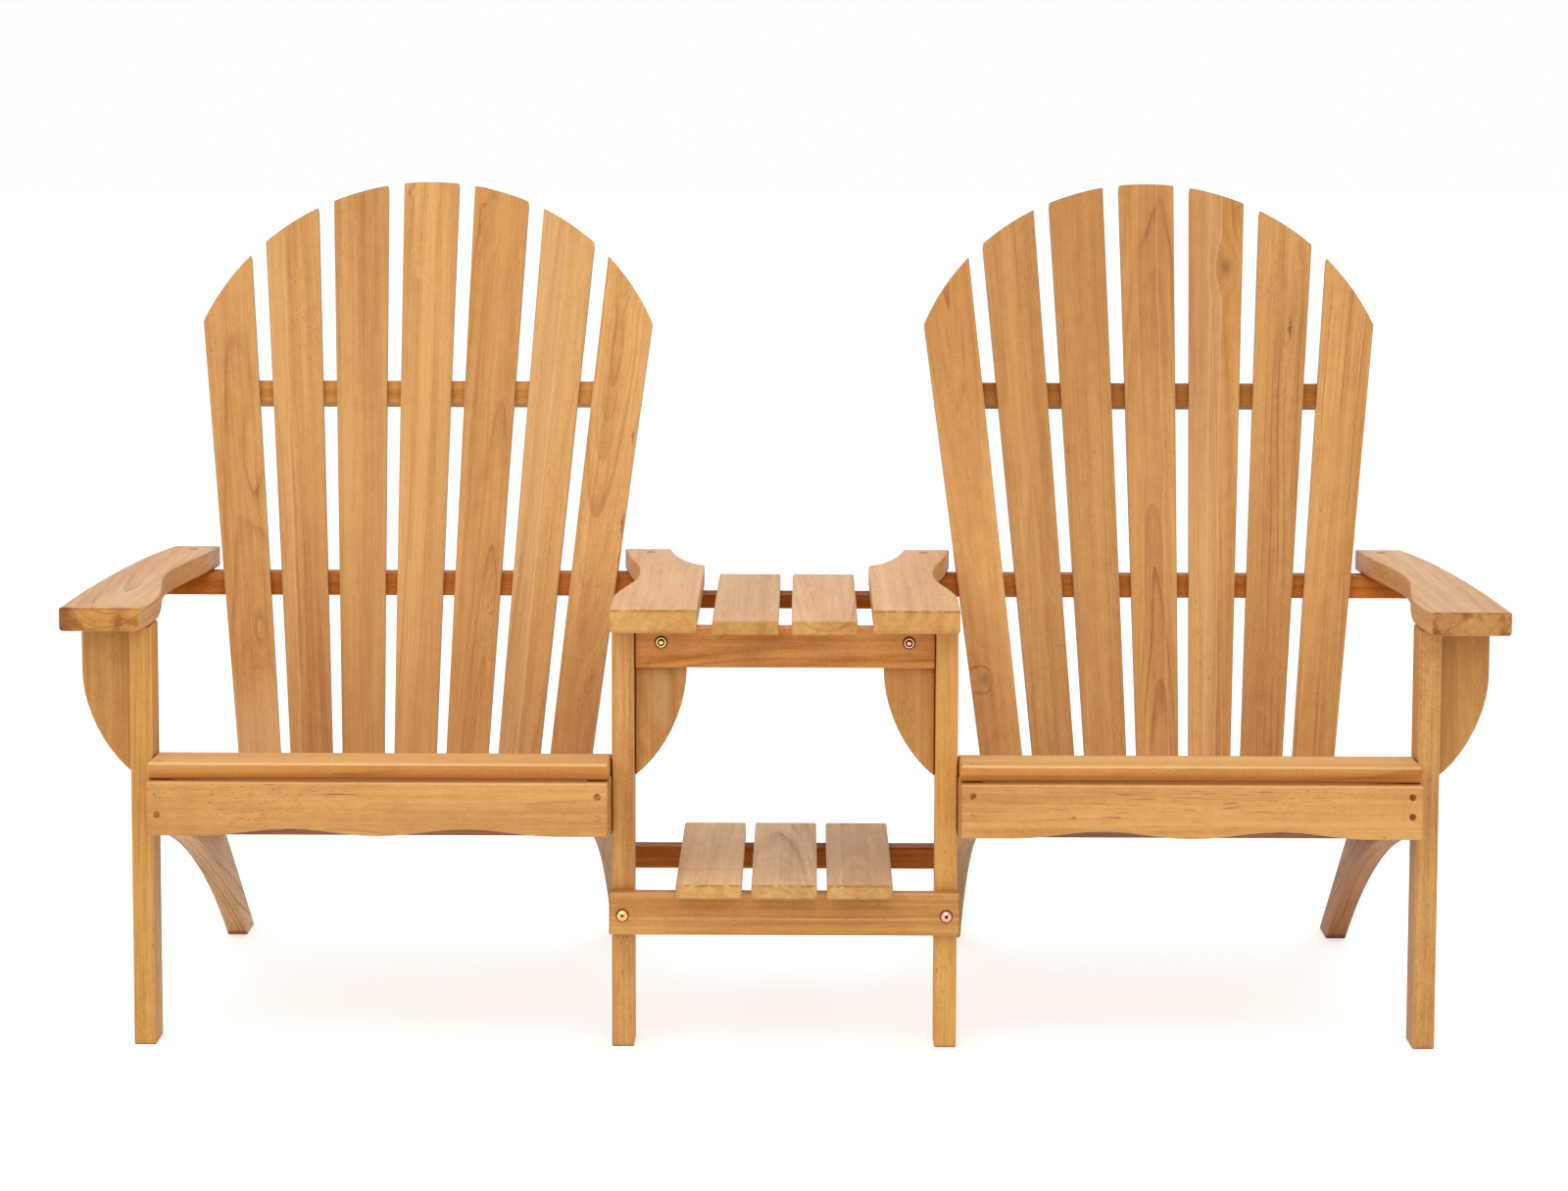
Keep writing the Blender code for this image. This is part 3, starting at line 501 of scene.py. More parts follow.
def mark_field(g, place, shift, spots, seams, splits):
    """Darkness above 0 and paleness below it.

    Spots are given as along, across, half length, half width and strength. Seams are thin lines along the
    board, given as across, half width and strength. Splits are given as across, softness and strength: beyond
    one the wood has another tone, and a pale line runs along it. shift is what knots do to the grain.
    """
    bent = g.split(g.vector("ADD", place, g.scatter(place, 26.0, 3.0, 0.6, 0.012)))
    mark = 0.0
    for along, across, length, width, strength in spots:
        spot = g.remap(g.oval(bent, (along, across), (length, width)), 2.2, 0.1)
        mark = g.math("MULTIPLY_ADD", spot, strength, mark)
    aside = g.split(place)[1]
    wave = g.noise(g.vector("MULTIPLY", place, (5.0, 0.0, 0.0)), 1.0, 2.0)
    broken = g.remap(g.noise(g.vector("MULTIPLY", place, (90.0, 0.0, 0.0)), 1.0, 2.0), 0.30, 0.50)
    for across, width, strength in seams:
        away = g.math("SUBTRACT", aside, across + SEAM_WAVE / 2)
        off = g.math("MULTIPLY_ADD", wave, SEAM_WAVE, away)
        line = g.math("MULTIPLY", g.remap(g.math("ABSOLUTE", off), width, width * 0.3), broken)
        mark = g.math("MULTIPLY_ADD", line, strength, mark)
    for across, softness, strength in splits:
        away = g.math("SUBTRACT", aside, across + SPLIT_WAVE / 2)
        edge = g.math("MULTIPLY_ADD", wave, SPLIT_WAVE, away)
        if shift is not None:
            edge = g.math("MULTIPLY_ADD", shift, -SPLIT_BEND, edge)
        mark = g.math("MULTIPLY_ADD", g.remap(edge, -softness, softness), strength, mark)
        off = g.math("ABSOLUTE", g.math("SUBTRACT", edge, softness))
        line = g.remap(off, SPLIT_LINE, SPLIT_LINE / 4)
        mark = g.math("MULTIPLY_ADD", line, -SPLIT_LINE_PALE, mark)
    return mark


def front_shade_field(g, place, facing, turn):
    """Where a slat's rounded front gets painted shade, which is stronger lower down."""
    look = -FRONT_LOOK[0] * turn.col[1] - FRONT_LOOK[1] * turn.col[2]
    forwards = g.vector("DOT_PRODUCT", facing, tuple(look))
    lower = g.remap(g.split(place)[2], *FRONT_HEIGHTS, *FRONT_STRENGTHS)
    return g.math("MULTIPLY", g.remap(forwards, 0.62, 0.78), lower)


def sawn(draw, cut):
    """Where the tree's middle runs beside a board sawn flat, straight or mixed: its offset and tilts."""
    side = draw.choice((-1, 1))
    if cut == "flat":
        pith = (0.0, draw.uniform(-0.012, 0.012), side * draw.uniform(0.030, 0.048))
        tilt = (draw.uniform(-0.010, 0.010), draw.choice((-1, 1)) * draw.uniform(0.030, 0.055))
    elif cut == "straight":
        pith = (0.0, side * draw.uniform(0.12, 0.20), draw.uniform(0.02, 0.05))
        tilt = (draw.uniform(-0.012, 0.012), draw.uniform(-0.02, 0.02))
    else:
        pith = (0.0, side * draw.uniform(0.035, 0.06), side * draw.uniform(0.035, 0.06))
        tilt = (draw.uniform(-0.015, 0.015), draw.choice((-1, 1)) * draw.uniform(0.01, 0.03))
    return pith, tilt


def teak_material(name, tone, axes, cut, knots=(), shade=1.0, warm=1.0, gloss=0.42, end_tint=GOLDEN_END,
                  front=False, rim=0.0, spots=(), seams=(), splits=(), rings=(), **strengths):
    """One board's material.

    cut is how the board was sawn: flat, straight or mixed. front says that its front gets painted shade,
    and rim is how dark the top edge of its end grain is. rings are the painted shadows round bolts in the
    board, as X, height and radius in the chair's own frame. The strengths are named as in USUAL_STRENGTHS.
    """
    draw = random.Random(name)
    material = bpy.data.materials.new("teak_" + name)
    material.use_nodes = True
    tree = material.node_tree
    g = Graph(tree)
    shader = tree.nodes["Principled BSDF"]
    middle, turn, half = axes
    where = node(tree, "ShaderNodeTexCoord")
    place = node(tree, "ShaderNodeMapping", vector_type="TEXTURE")
    place.inputs["Location"].default_value = middle
    place.inputs["Rotation"].default_value = turn.to_euler("XYZ")
    g.put(where.outputs["Object"], place.inputs["Vector"])
    place = place.outputs[0]

    group = node(tree, "ShaderNodeGroup", node_tree=TEAK)
    values = group.inputs
    g.put(place, values["Place"])
    values["Seed"].default_value = [draw.uniform(-40, 40) for _ in range(3)]
    pith, tilt = sawn(draw, cut)
    values["Pith"].default_value = pith
    values["Tilt Y"].default_value, values["Tilt Z"].default_value = tilt
    values["Ring"].default_value = draw.uniform(0.0046, 0.0070)
    for strength, number in (USUAL_STRENGTHS | strengths).items():
        values[strength.capitalize()].default_value = number
    values["End Tint"].default_value = (*end_tint, 1.0)
    pale, deep = WOODS[tone]
    values["Pale"].default_value = tinted(pale, shade, warm)
    values["Deep"].default_value = tinted(deep, shade, warm)
    shift = dark = None
    if knots:
        shift, dark = knot_field(g, place, knots)
        g.put(shift, values["Knot"])
    facing = node(tree, "ShaderNodeNewGeometry").outputs["True Normal"]
    if spots or seams or splits:
        g.put(mark_field(g, place, shift, spots, seams, splits), values["Mark"])
    # Painted shade on a front slat's front face, stronger lower down
    if front:
        g.put(front_shade_field(g, place, facing, turn), values["Front"])
    # Painted shadow round each bolt's head
    for ring in rings:
        bolt_shadow = bolt_shadow_field(g, where.outputs["Object"], *ring)
        dark = bolt_shadow if dark is None else g.math("MAXIMUM", dark, bolt_shadow)
    g.put(dark, values["Dark"])

    # End grain faces along the board, and the chamfers round its broad faces are worn edges with a painted
    # highlight
    endwards = g.facing(facing, turn.col[0])
    g.put(g.remap(endwards, 0.45, 0.70), values["End"])
    outwards = g.facing(facing, turn.col[2])
    chamfer = g.math("MULTIPLY", g.remap(outwards, 0.45, 0.68), g.remap(outwards, 0.95, 0.74))
    g.put(g.math("MULTIPLY", chamfer, g.remap(endwards, 0.60, 0.30)), values["Edge"])
    if rim:
        height = g.split(place)[2]
        g.put(g.remap(height, half - RIM_START, half - RIM_FULL, 0.0, rim), values["Rim"])

    g.put(group.outputs["Color"], shader.inputs["Base Color"])
    g.put(group.outputs["Roughness"], shader.inputs["Roughness"])
    bump = node(tree, "ShaderNodeBump")
    bump.inputs["Strength"].default_value = BUMP_STRENGTH
    bump.inputs["Distance"].default_value = BUMP_HEIGHT
    g.put(group.outputs["Height"], bump.inputs["Height"])
    g.put(bump.outputs[0], shader.inputs["Normal"])
    shader.inputs["Specular IOR Level"].default_value = gloss
    return material


def tinted(tone, shade, warm):
    """A colour made lighter or darker by shade and warmer or cooler by warm, where 1 leaves it as it is."""
    green = tone[1] * shade * (2 - warm) ** 0.5
    blue = tone[2] * shade * (2 - warm) ** 1.5
    return (tone[0] * shade, green, blue, 1.0)


def dress(name, tone, grain, cut, **looks):
    """Gives a CAD board its own teak."""
    board = NODES[name]
    material = teak_material(name, tone, board_axes(name, grain), cut, **looks)
    board.data.materials.clear()
    board.data.materials.append(material)


def bolt_shadow_ring(name):
    """Place and size of the painted shadow round a bolt's head."""
    low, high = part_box(name)
    return (low[0] + high[0]) / 2, (low[2] + high[2]) / 2, BOLT_RADIUS


def slat_grain(number):
    """Direction of a chair's back slat, counted from 0 at the left; the middle one leans to neither side."""
    lean = math.atan(FAN_STEP * (number - BACK_SLATS // 2))
    up = Vector((0.0, math.sin(RECLINE), math.cos(RECLINE)))
    return up * math.cos(lean) + Vector((math.sin(lean), 0.0, 0.0))


# Back slats from left to right: tone, cut, shade, warmth, lines and how much darker the foot and the head
# are, then knots as knot_field takes them
BACK_LOOKS = {
    "left": (("golden", "flat", 0.97, 1.03, 0.8, 0.0, 0.0, ((0.088, -0.016, 0.011, 1.5, 0.0, 5.5),
                                                           (-0.132, -0.012, 0.009, 1.3, 0.0, 4.0))),
             ("golden", "mixed", 0.91, 1.06, 0.9, 0.95, 0.0, ()),
             ("golden", "straight", 0.87, 1.05, 0.7, 0.9, 0.4, ((0.213, -0.024, 0.013, 1.6, 0.0, 3.0),)),
             ("pale", "straight", 0.87, 1.12, 0.9, 0.9, 0.0, ((0.422, -0.028, 0.005, 1.0, 0.60, 1.2),
                                                              (0.311, -0.013, 0.006, 1.6, 0.12, 1.2))),
             ("golden", "flat", 0.95, 1.06, 0.9, 0.9, 0.75, ((0.420, 0.016, 0.010, 2.0, 0.40, 1.3),
                                                             (0.371, 0.014, 0.011, 2.4, 0.0, 2.6))),
             ("pale", "mixed", 0.89, 1.06, 0.7, 0.85, 0.0, ()),
             ("golden", "flat", 1.01, 1.01, 0.45, 1.5, 0.0, ((0.304, 0.0, 0.012, 1.4, 0.0, 2.2),
                                                             (0.140, -0.0275, 0.0035, 1.0, 0.75, 6.0),
                                                             (0.020, -0.0285, 0.0035, 0.8, 0.75, 11.0),
                                                             (-0.193, -0.016, 0.014, 1.6, 0.05, 2.4)))),
    "right": (("golden", "flat", 0.97, 1.04, 0.9, 0.0, 1.0, ((-0.188, 0.011, 0.013, 3.0, 0.45, 1.7),)),
              ("golden", "mixed", 0.84, 1.07, 0.5, 0.0, 0.5, ((0.05, 0.0, 0.020, 1.2, 0.0, 1.6),)),
              ("golden", "straight", 0.80, 1.12, 0.7, 0.0, 0.6, ()),
              ("golden", "flat", 0.88, 1.08, 1.2, 0.0, 0.8, ((0.05, 0.004, 0.012, 1.6, 0.0, 2.5),)),
              ("golden", "mixed", 0.89, 1.08, 0.9, 0.0, 0.8, ((0.324, -0.007, 0.016, 4.2, 0.60, 1.5),)),
              ("golden", "straight", 0.82, 1.11, 1.0, 0.55, 0.0, ((0.255, -0.008, 0.0052, 1.8, 0.95, 6.0),
                                                                 (0.30, -0.010, 0.012, 1.6, 0.0, 3.0))),
              ("golden", "straight", 0.94, 1.07, 1.0, 0.75, 0.0, ((0.10, 0.02, 0.012, 1.6, 0.0, 3.0),))),
}

# Slats whose wood changes tone at a line along them, as mark_field takes it
BACK_SPLITS = {
    "left_back_slat_2": ((0.008, 0.0012, -0.16), (0.008, 0.02, 0.10)),
    "left_back_slat_6": ((0.004, 0.0015, -0.14),),
    "right_back_slat_4": ((0.012, 0.0012, -0.16), (-0.014, 0.0012, 0.14)),
    "right_back_slat_5": ((-0.003, 0.0012, -0.22), (-0.003, 0.015, 0.08)),
}

# Slats with a paler place on them, as mark_field takes it
BACK_SPOTS = {
    "left_back_slat_1": ((-0.300, 0.0, 0.085, 0.080, -0.32),),
}

for chair in ("left", "right"):
    for number, (tone, cut, shade, warm, lines, fade, head, knots) in enumerate(BACK_LOOKS[chair]):
        slat = f"{chair}_back_slat_{number + 1}"
        dress(slat, tone, slat_grain(number), cut, shade=shade, warm=warm, lines=lines, knots=knots,
              fade=fade, head=head, splits=BACK_SPLITS.get(slat, ()), spots=BACK_SPOTS.get(slat, ()))

# The rails behind the slats
dress("left_upper_back_rail", "golden", ALONG_X, "straight", shade=1.06, warm=1.07, gloss=0.15)
dress("right_upper_back_rail", "orange", ALONG_X, "straight", shade=0.78, warm=1.14, gloss=0.12)
dress("left_arm_rail", "brown", ALONG_X, "straight", shade=1.40, warm=0.95, gloss=0.12)
dress("right_arm_rail", "brown", ALONG_X, "mixed", shade=1.30, gloss=0.12)
dress("left_lower_back_rail", "brown", ALONG_X, "mixed", gloss=0.2)
dress("right_lower_back_rail", "brown", ALONG_X, "straight", gloss=0.2)

# Legs and side rails
dress("left_front_leg_outer", "straw", ALONG_Z, "flat", shade=0.99, lines=0.9, bands=1.3, fine=1.5)
dress("left_front_leg_inner", "golden", ALONG_Z, "mixed", lines=1.0, bands=1.3, fine=1.6)
dress("right_front_leg_inner", "straw", ALONG_Z, "straight", shade=1.06, lines=1.0, bands=1.3, fine=1.5)
dress("right_front_leg_outer", "golden", ALONG_Z, "flat", shade=0.95, fine=1.6, lines=1.2, bands=1.2,
      knots=((0.223, 0.029, 0.008, 2.4, 0.1, 2.4),))
dress("left_side_rail_outer", "grey", RAIL_GRAIN, "mixed", shade=1.24, warm=1.24, lines=1.4, gloss=0.3)
dress("left_side_rail_inner", "golden", RAIL_GRAIN, "mixed", shade=0.9)
dress("right_side_rail_inner", "golden", RAIL_GRAIN, "flat", shade=0.9)
dress("right_side_rail_outer", "golden", RAIL_GRAIN, "mixed", shade=0.84, warm=1.32, lines=1.2, gloss=0.25)

# Aprons and seats, where the front slat has painted shade on its front, deeper lower down, and a painted
# shade line along its rear edge
dress("left_front_apron", "golden", ALONG_X, "flat", shade=1.02, hollow=0.3, lines=0.5, bands=0.4, fine=0.8,
      dashes=0.9, knots=((-0.037, 0.026, 0.018, 1.0, 0.0, 1.8),))
dress("right_front_apron", "golden", ALONG_X, "straight", hollow=0.3, warm=1.02, lines=0.6, bands=0.4,
      fine=0.9, dashes=0.7, knots=((-0.137, 0.007, 0.004, 1.2, 0.7, 1.8),))
for chair in ("left", "right"):
    low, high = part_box(f"{chair}_seat_slat_1")
    rear_shade_line = (high[1] - low[1]) / 2 - REAR_SHADE_INSET
    # Its rear seam is a painted shade line where it meets the next slat
    dress(f"{chair}_seat_slat_1", "pale", ALONG_X, "straight", shade=1.01, lines=0.6, bands=0.6, front=True,
          hollow=0.0, gloss=0.25, seams=((rear_shade_line, 0.0045, 0.70),))
    for number, tone, cut in ((2, "pale", "mixed"), (3, "golden", "flat"), (4, "golden", "mixed")):
        dress(f"{chair}_seat_slat_{number}", tone, ALONG_X, cut, shade=1.03)

# Arms, where the left outer one has a dark stain at its front corner, and their brackets
low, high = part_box("left_arm_outer")
left_corner = (high[0] - low[0]) / 2 - STAIN_INSET
dress("left_arm_outer", "rose", ALONG_Y, "flat", shade=0.98, lines=1.6, bands=1.4, stain=0.8, fine=1.3,
      rim=0.6, end_tint=(0.98, 0.80, 0.36),
      spots=((-0.315, -0.010, 0.030, 0.022, 0.12), (-0.250, 0.030, 0.060, 0.010, 0.18),
             (-0.338, left_corner, 0.016, 0.015, 1.0), (-0.332, -0.018, 0.014, 0.010, 0.30)))
dress("left_arm_inner", "rose", ALONG_Y, "mixed", shade=1.01, lines=0.35, stain=0.35, fine=1.1, rim=0.75)
dress("right_arm_inner", "rose", ALONG_Y, "straight", shade=1.06, lines=0.4, fine=1.1, rim=0.75,
      end_tint=(0.93, 0.86, 0.50))
dress("right_arm_outer", "rose", ALONG_Y, "mixed", shade=0.97, lines=0.9, stain=1.1, fine=1.3, rim=0.6,
      end_tint=(0.88, 0.78, 0.44), spots=((-0.336, 0.030, 0.012, 0.022, 0.35),))
dress("left_arm_bracket_outer", "golden", ALONG_Z, "mixed", shade=0.92, warm=1.04, lines=0.3, bands=0.6,
      gloss=0.3)
dress("left_arm_bracket_inner", "golden", ALONG_Z, "flat", shade=0.95, warm=1.02, lines=0.4, bands=0.7,
      gloss=0.3, spots=((0.002, 0.0, 0.030, 0.012, -0.35),),
      knots=((-0.060, -0.022, 0.006, 1.8, 0.25, 1.3),))
dress("right_arm_bracket_inner", "golden", ALONG_Z, "mixed", shade=0.97, warm=1.02, lines=0.3, bands=0.6,
      gloss=0.3)
dress("right_arm_bracket_outer", "golden", ALONG_Z, "straight", shade=0.90, warm=1.02, lines=0.5, gloss=0.3)

# Table and shelf
# The front rails carry painted shadows round their bolts
dress("table_front_rail", "orange", ALONG_X, "flat", shade=1.24, lines=2.0, bands=1.7, warm=0.95, gloss=0.3,
      fine=1.3, rings=[bolt_shadow_ring("table_bolt_left"), bolt_shadow_ring("table_bolt_right")])
dress("table_rear_batten", "brown", ALONG_X, "mixed", shade=0.76, warm=1.25, gloss=0.05)
dress("shelf_front_rail", "golden", ALONG_X, "straight", shade=0.96, warm=1.03, lines=0.5, fine=1.1,
      gloss=0.3, seams=((0.0055, 0.0010, -0.6),),
      rings=[bolt_shadow_ring("shelf_bolt_left"), bolt_shadow_ring("shelf_bolt_right")])
dress("shelf_rear_rail", "brown", ALONG_X, "mixed", gloss=0.10)
dress("table_slat_left", "rose", ALONG_Y, "straight", shade=0.94, lines=0.3, rim=0.25)
dress("table_slat_right", "rose", ALONG_Y, "flat", fine=1.2, rim=0.25, end_tint=(0.90, 0.80, 0.45),
      knots=((0.087, 0.0, 0.012, 2.0, 0.0, 2.0),))
dress("shelf_slat_left", "grey", ALONG_Y, "mixed", shade=1.24, warm=1.02, lines=0.4, fine=0.9, rim=0.7,
      end_tint=SHELF_END, spots=((-0.115, 0.0, 0.010, 0.040, 0.14),))
dress("shelf_slat_middle", "grey", ALONG_Y, "flat", shade=1.24, warm=0.96, lines=1.3, bands=1.6, fine=0.9,
      rim=0.7, end_tint=SHELF_END)
dress("shelf_slat_right", "grey", ALONG_Y, "flat", warm=1.12, lines=0.6, bands=1.4, fine=0.9, rim=0.7,
      end_tint=(0.95, 0.86, 0.56), splits=((0.020, 0.002, -0.22),))


def new_piece(name, shape, materials):
    """A piece of the scene that rides on the chair's one body."""
    mesh = bpy.data.meshes.new(name)
    bmesh.ops.recalc_face_normals(shape, faces=shape.faces)
    shape.to_mesh(mesh)
    shape.free()
    for material in materials:
        mesh.materials.append(material)
    mesh.shade_smooth()
    mesh.set_sharp_from_angle(angle=SHARP_ANGLE)
    piece = bpy.data.objects.new(name, mesh)
    bpy.context.scene.collection.objects.link(piece)
    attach(piece, "root")
    return piece


def turned(shape, place, rings, sides, dark_rows=()):
    """Adds a solid of revolution round Z of a place, from rings of radius, height and corners.

    A ring is round where it has 0 corners, and else a polygon. The faces between a ring whose number is in
    dark_rows and the next ring get the second material.
    """
    rows = []
    for radius, height, corners in rings:
        row = []
        for step in range(sides):
            angle = 2 * math.pi * step / sides
            reach = radius
            if corners:
                sector = 2 * math.pi / corners
                reach = radius / math.cos(angle % sector - sector / 2)
            point = Vector((reach * math.cos(angle), reach * math.sin(angle), height))
            row.append(shape.verts.new(place @ point))
        rows.append(row)
    shape.faces.new(rows[0])
    last = shape.faces.new(rows[-1])
    last.material_index = 1 if len(rows) - 2 in dark_rows else 0
    for number, (lower, upper) in enumerate(zip(rows, rows[1:])):
        for index in range(sides):
            after = (index + 1) % sides
            face = shape.faces.new((lower[index], lower[after], upper[after], upper[index]))
            face.material_index = 1 if number in dark_rows else 0


def brass_material(name, bright, dull, rough):
    """Metal that is bright in places and dull in others."""
    material = bpy.data.materials.new(name)
    material.use_nodes = True
    g = Graph(material.node_tree)
    shader = material.node_tree.nodes["Principled BSDF"]
    place = node(material.node_tree, "ShaderNodeTexCoord").outputs["Object"]
    patina = g.noise(place, 700.0, 3.0, 0.6)
    g.put(g.mix(g.remap(patina, 0.45, 0.80), bright, dull), shader.inputs["Base Color"])
    g.put(g.remap(patina, 0.3, 0.8, rough, rough + 0.2), shader.inputs["Roughness"])
    shader.inputs["Metallic"].default_value = 1.0
    return material


# Each bolt's bright and worn metal, and the dark of its rim, groove or socket
BOLT_LOOKS = {
    "table_bolt_left": (colour(246, 224, 146), colour(156, 128, 54), colour(40, 28, 6)),
    "table_bolt_right": (colour(246, 184, 158), colour(168, 96, 80), colour(52, 14, 10)),
    "shelf_bolt_left": (colour(238, 186, 118), colour(212, 144, 70), colour(140, 82, 30)),
    "shelf_bolt_right": (colour(230, 174, 152), colour(200, 126, 100), colour(60, 20, 12)),
}

# A bolt in rings as turned() takes them, from the end of its shank to the middle of its front: the rings
# that all bolts share, then the shelf's bolts with a hexagon socket and the table's with a dome in a groove
BOLT_BASE = (
    (BOLT_SHANK_RADIUS, BOLT_SHANK_END, 0),
    (BOLT_SHANK_RADIUS, -HEAD_HEIGHT, 0),
    (BOLT_RADIUS, -HEAD_HEIGHT, 0),
    (BOLT_RADIUS, -0.0017, 0),
    (BOLT_RADIUS - 0.0003, -0.0014, 0),
    (BOLT_RADIUS - 0.0007, -0.0011, 0),
)
SHELF_BOLT_FACE = (
    (BOLT_RADIUS - 0.0018, -0.0006, 0),
    (BOLT_RADIUS - 0.0030, -0.0002, 0),
    (SOCKET_RADIUS + 0.0003, 0.0, 6),
    (SOCKET_RADIUS, -0.0002, 6),
    (SOCKET_RADIUS, -0.0014, 6),
    (0.0002, -0.0018, 0),
)
TABLE_BOLT_FACE = (
    (BOLT_RADIUS - 0.0011, -0.0010, 0),
    (BOLT_RADIUS - 0.0019, -0.0010, 0),
    (BOLT_RADIUS - 0.0022, -0.0013, 0),
    (BOLT_RADIUS - 0.0024, -0.0020, 0),
    (BOLT_RADIUS - 0.0032, -0.0020, 0),
    (BOLT_RADIUS - 0.0034, -0.0012, 0),
    (BOLT_RADIUS - 0.0037, -0.0006, 0),
    (BOLT_RADIUS - 0.0043, -0.0002, 0),
    (0.0012, 0.0, 0),
    (0.0002, 0.00005, 0),
)
SHELF_BOLT_DARK = (2, 3, 9, 10)
TABLE_BOLT_DARK = (2, 3, 4, 7, 8, 9, 10)


def add_bolts():
    """Round-headed bolts in place of the plain ones."""
    facing = Matrix.Rotation(math.pi / 2, 4, "X")
    for name, (bright, dull, dark) in BOLT_LOOKS.items():
        low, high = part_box(name)
        place = Matrix.Translation(((low[0] + high[0]) / 2, low[1], (low[2] + high[2]) / 2)) @ facing
        if name.startswith("shelf"):
            rings = BOLT_BASE + SHELF_BOLT_FACE
            dark_rows = SHELF_BOLT_DARK
        else:
            rings = BOLT_BASE + TABLE_BOLT_FACE
            dark_rows = TABLE_BOLT_DARK
        shape = bmesh.new()
        turned(shape, place, rings, BOLT_SIDES, dark_rows)
        deepest = (dark[0] * GROOVE_DEEPEST, dark[1] * GROOVE_DEEPEST, dark[2] * GROOVE_DEEPEST, 1.0)
        metals = (brass_material(name + "_brass", bright, dull, BRASS_ROUGHNESS),
                  brass_material(name + "_groove", dark, deepest, GROOVE_ROUGHNESS))
        piece = new_piece("round_" + name, shape, metals)
        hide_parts(name)


def plug_material(name, pale, deep, cracks):
    """A plug's own tone with fine cracks."""
    material = bpy.data.materials.new(name)
    material.use_nodes = True
    g = Graph(material.node_tree)
    shader = material.node_tree.nodes["Principled BSDF"]
    place = node(material.node_tree, "ShaderNodeTexCoord").outputs["Object"]
    cells = node(material.node_tree, "ShaderNodeTexVoronoi", feature="DISTANCE_TO_EDGE")
    g.put(g.vector("MULTIPLY", place, CRACK_CELLS), cells.inputs["Vector"])
    cells.inputs["Scale"].default_value = 1.0
    crack = g.remap(cells.outputs["Distance"], 0.0, 0.14, cracks, 0.0)
    cloud = g.noise(place, 240.0, 3.0, 0.65)
    wood = g.mix(g.remap(cloud, 0.35, 0.65), pale, deep)
    g.put(g.mix(crack, wood, CRACK_COLOUR), shader.inputs["Base Color"])
    g.put(g.remap(cloud, 0.3, 0.8, 0.5, 0.7), shader.inputs["Roughness"])
    shader.inputs["Specular IOR Level"].default_value = 0.2
    return material


# Plugs in the aprons: chair, end, distance from that end, distance below the top and tone
APRON_PLUGS = (("left", 0, 0.0121, 0.0148, "faint"), ("left", 0, 0.0122, 0.0377, "brown"),
               ("left", 1, 0.0122, 0.0155, "brown"), ("left", 1, 0.0122, 0.0406, "faint"),
               ("right", 0, 0.0138, 0.0128, "brown"), ("right", 0, 0.0150, 0.0346, "faint"),
               ("right", 1, 0.0126, 0.0126, "dark"), ("right", 1, 0.0122, 0.0356, "dark"))

# The plugs' pale and deep wood and how strong their cracks are, then the cracks' colour and how many cells
# between them lie in a metre
PLUG_TONES = {
    "faint": (colour(216, 168, 96), colour(188, 146, 84), 0.25),
    "brown": (colour(198, 132, 58), colour(150, 88, 32), 0.7),
    "dark": (colour(160, 92, 34), colour(104, 54, 16), 0.6),
}
CRACK_COLOUR = colour(88, 46, 20)
CRACK_CELLS = (260.0, 260.0, 260.0)


def add_plugs():
    """Flush wooden plugs over the screws of the aprons, front slats, arms and back rails."""
    shapes = {tone: bmesh.new() for tone in PLUG_TONES}
    facing_front = Matrix.Rotation(math.pi / 2, 4, "X")
    for chair, end, inset, down, tone in APRON_PLUGS:
        low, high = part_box(f"{chair}_front_apron")
        x = high[0] - inset if end else low[0] + inset
        place = Matrix.Translation((x, low[1], high[2] - down)) @ facing_front
        turned(shapes[tone], place, plug_rings(), PLUG_SIDES)
    for tone, shape in shapes.items():
        material = plug_material("apron_plug_" + tone, *PLUG_TONES[tone])
        new_piece("apron_plugs_" + tone, shape, [material])

    nose_plugs = bmesh.new()
    arm_plugs = bmesh.new()
    rear_plugs = bmesh.new()
    slope = Matrix.Rotation(NOSE_SLOPE, 4, "X")
    for chair in ("left", "right"):
        low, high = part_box(f"{chair}_seat_slat_1")
        for x in (low[0] + NOSE_PLUG_INSET, high[0] - NOSE_PLUG_INSET):
            place = Matrix.Translation((x, low[1] + NOSE_PLUG_BACK, high[2] - NOSE_PLUG_DOWN)) @ slope
            turned(nose_plugs, place, plug_rings(), PLUG_SIDES)
        for label in ("outer", "inner"):
            low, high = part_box(f"{chair}_arm_{label}")
            middle_x = arm_rear_middle(f"{chair}_arm_{label}", high[1])
            if label == "inner":
                middle_x = math.copysign(INNER_ARM_PLUG_X, middle_x)
            place = Matrix.Translation((middle_x, high[1] - ARM_PLUG_INSET, high[2]))
            turned(arm_plugs, place, plug_rings(ARM_PLUG_RADIUS), ARM_PLUG_SIDES)
        for rail in ("upper_back_rail", "lower_back_rail"):
            rear_row(rear_plugs, chair, rail, plug_rings())
    nose_material = plug_material("nose_plug", *PLUG_TONES["faint"])
    new_piece("nose_plugs", nose_plugs, [nose_material])
    new_piece("arm_plugs", arm_plugs, [plug_material("arm_plug", *PLUG_TONES["brown"])])
    new_piece("rear_plugs", rear_plugs, [plug_material("rear_plug", *PLUG_TONES["brown"])])


def plug_rings(radius=PLUG_RADIUS):
    """A plug's flat disc that stands a little proud of its board, in rings as turned() takes them."""
    return [(radius, -PLUG_DEPTH, 0), (radius, PLUG_PROUD * PLUG_CHAMFER, 0),
            (radius * PLUG_TOP, PLUG_PROUD, 0), (radius * PLUG_MIDDLE, PLUG_PROUD, 0)]


def arm_rear_middle(name, rear):
    """X of the middle of an arm's rear end."""
    spots = [vert.co.x for vert in NODES[name].data.vertices if vert.co.y > rear - REAR_END_REACH]
    return (min(spots) + max(spots)) / 2


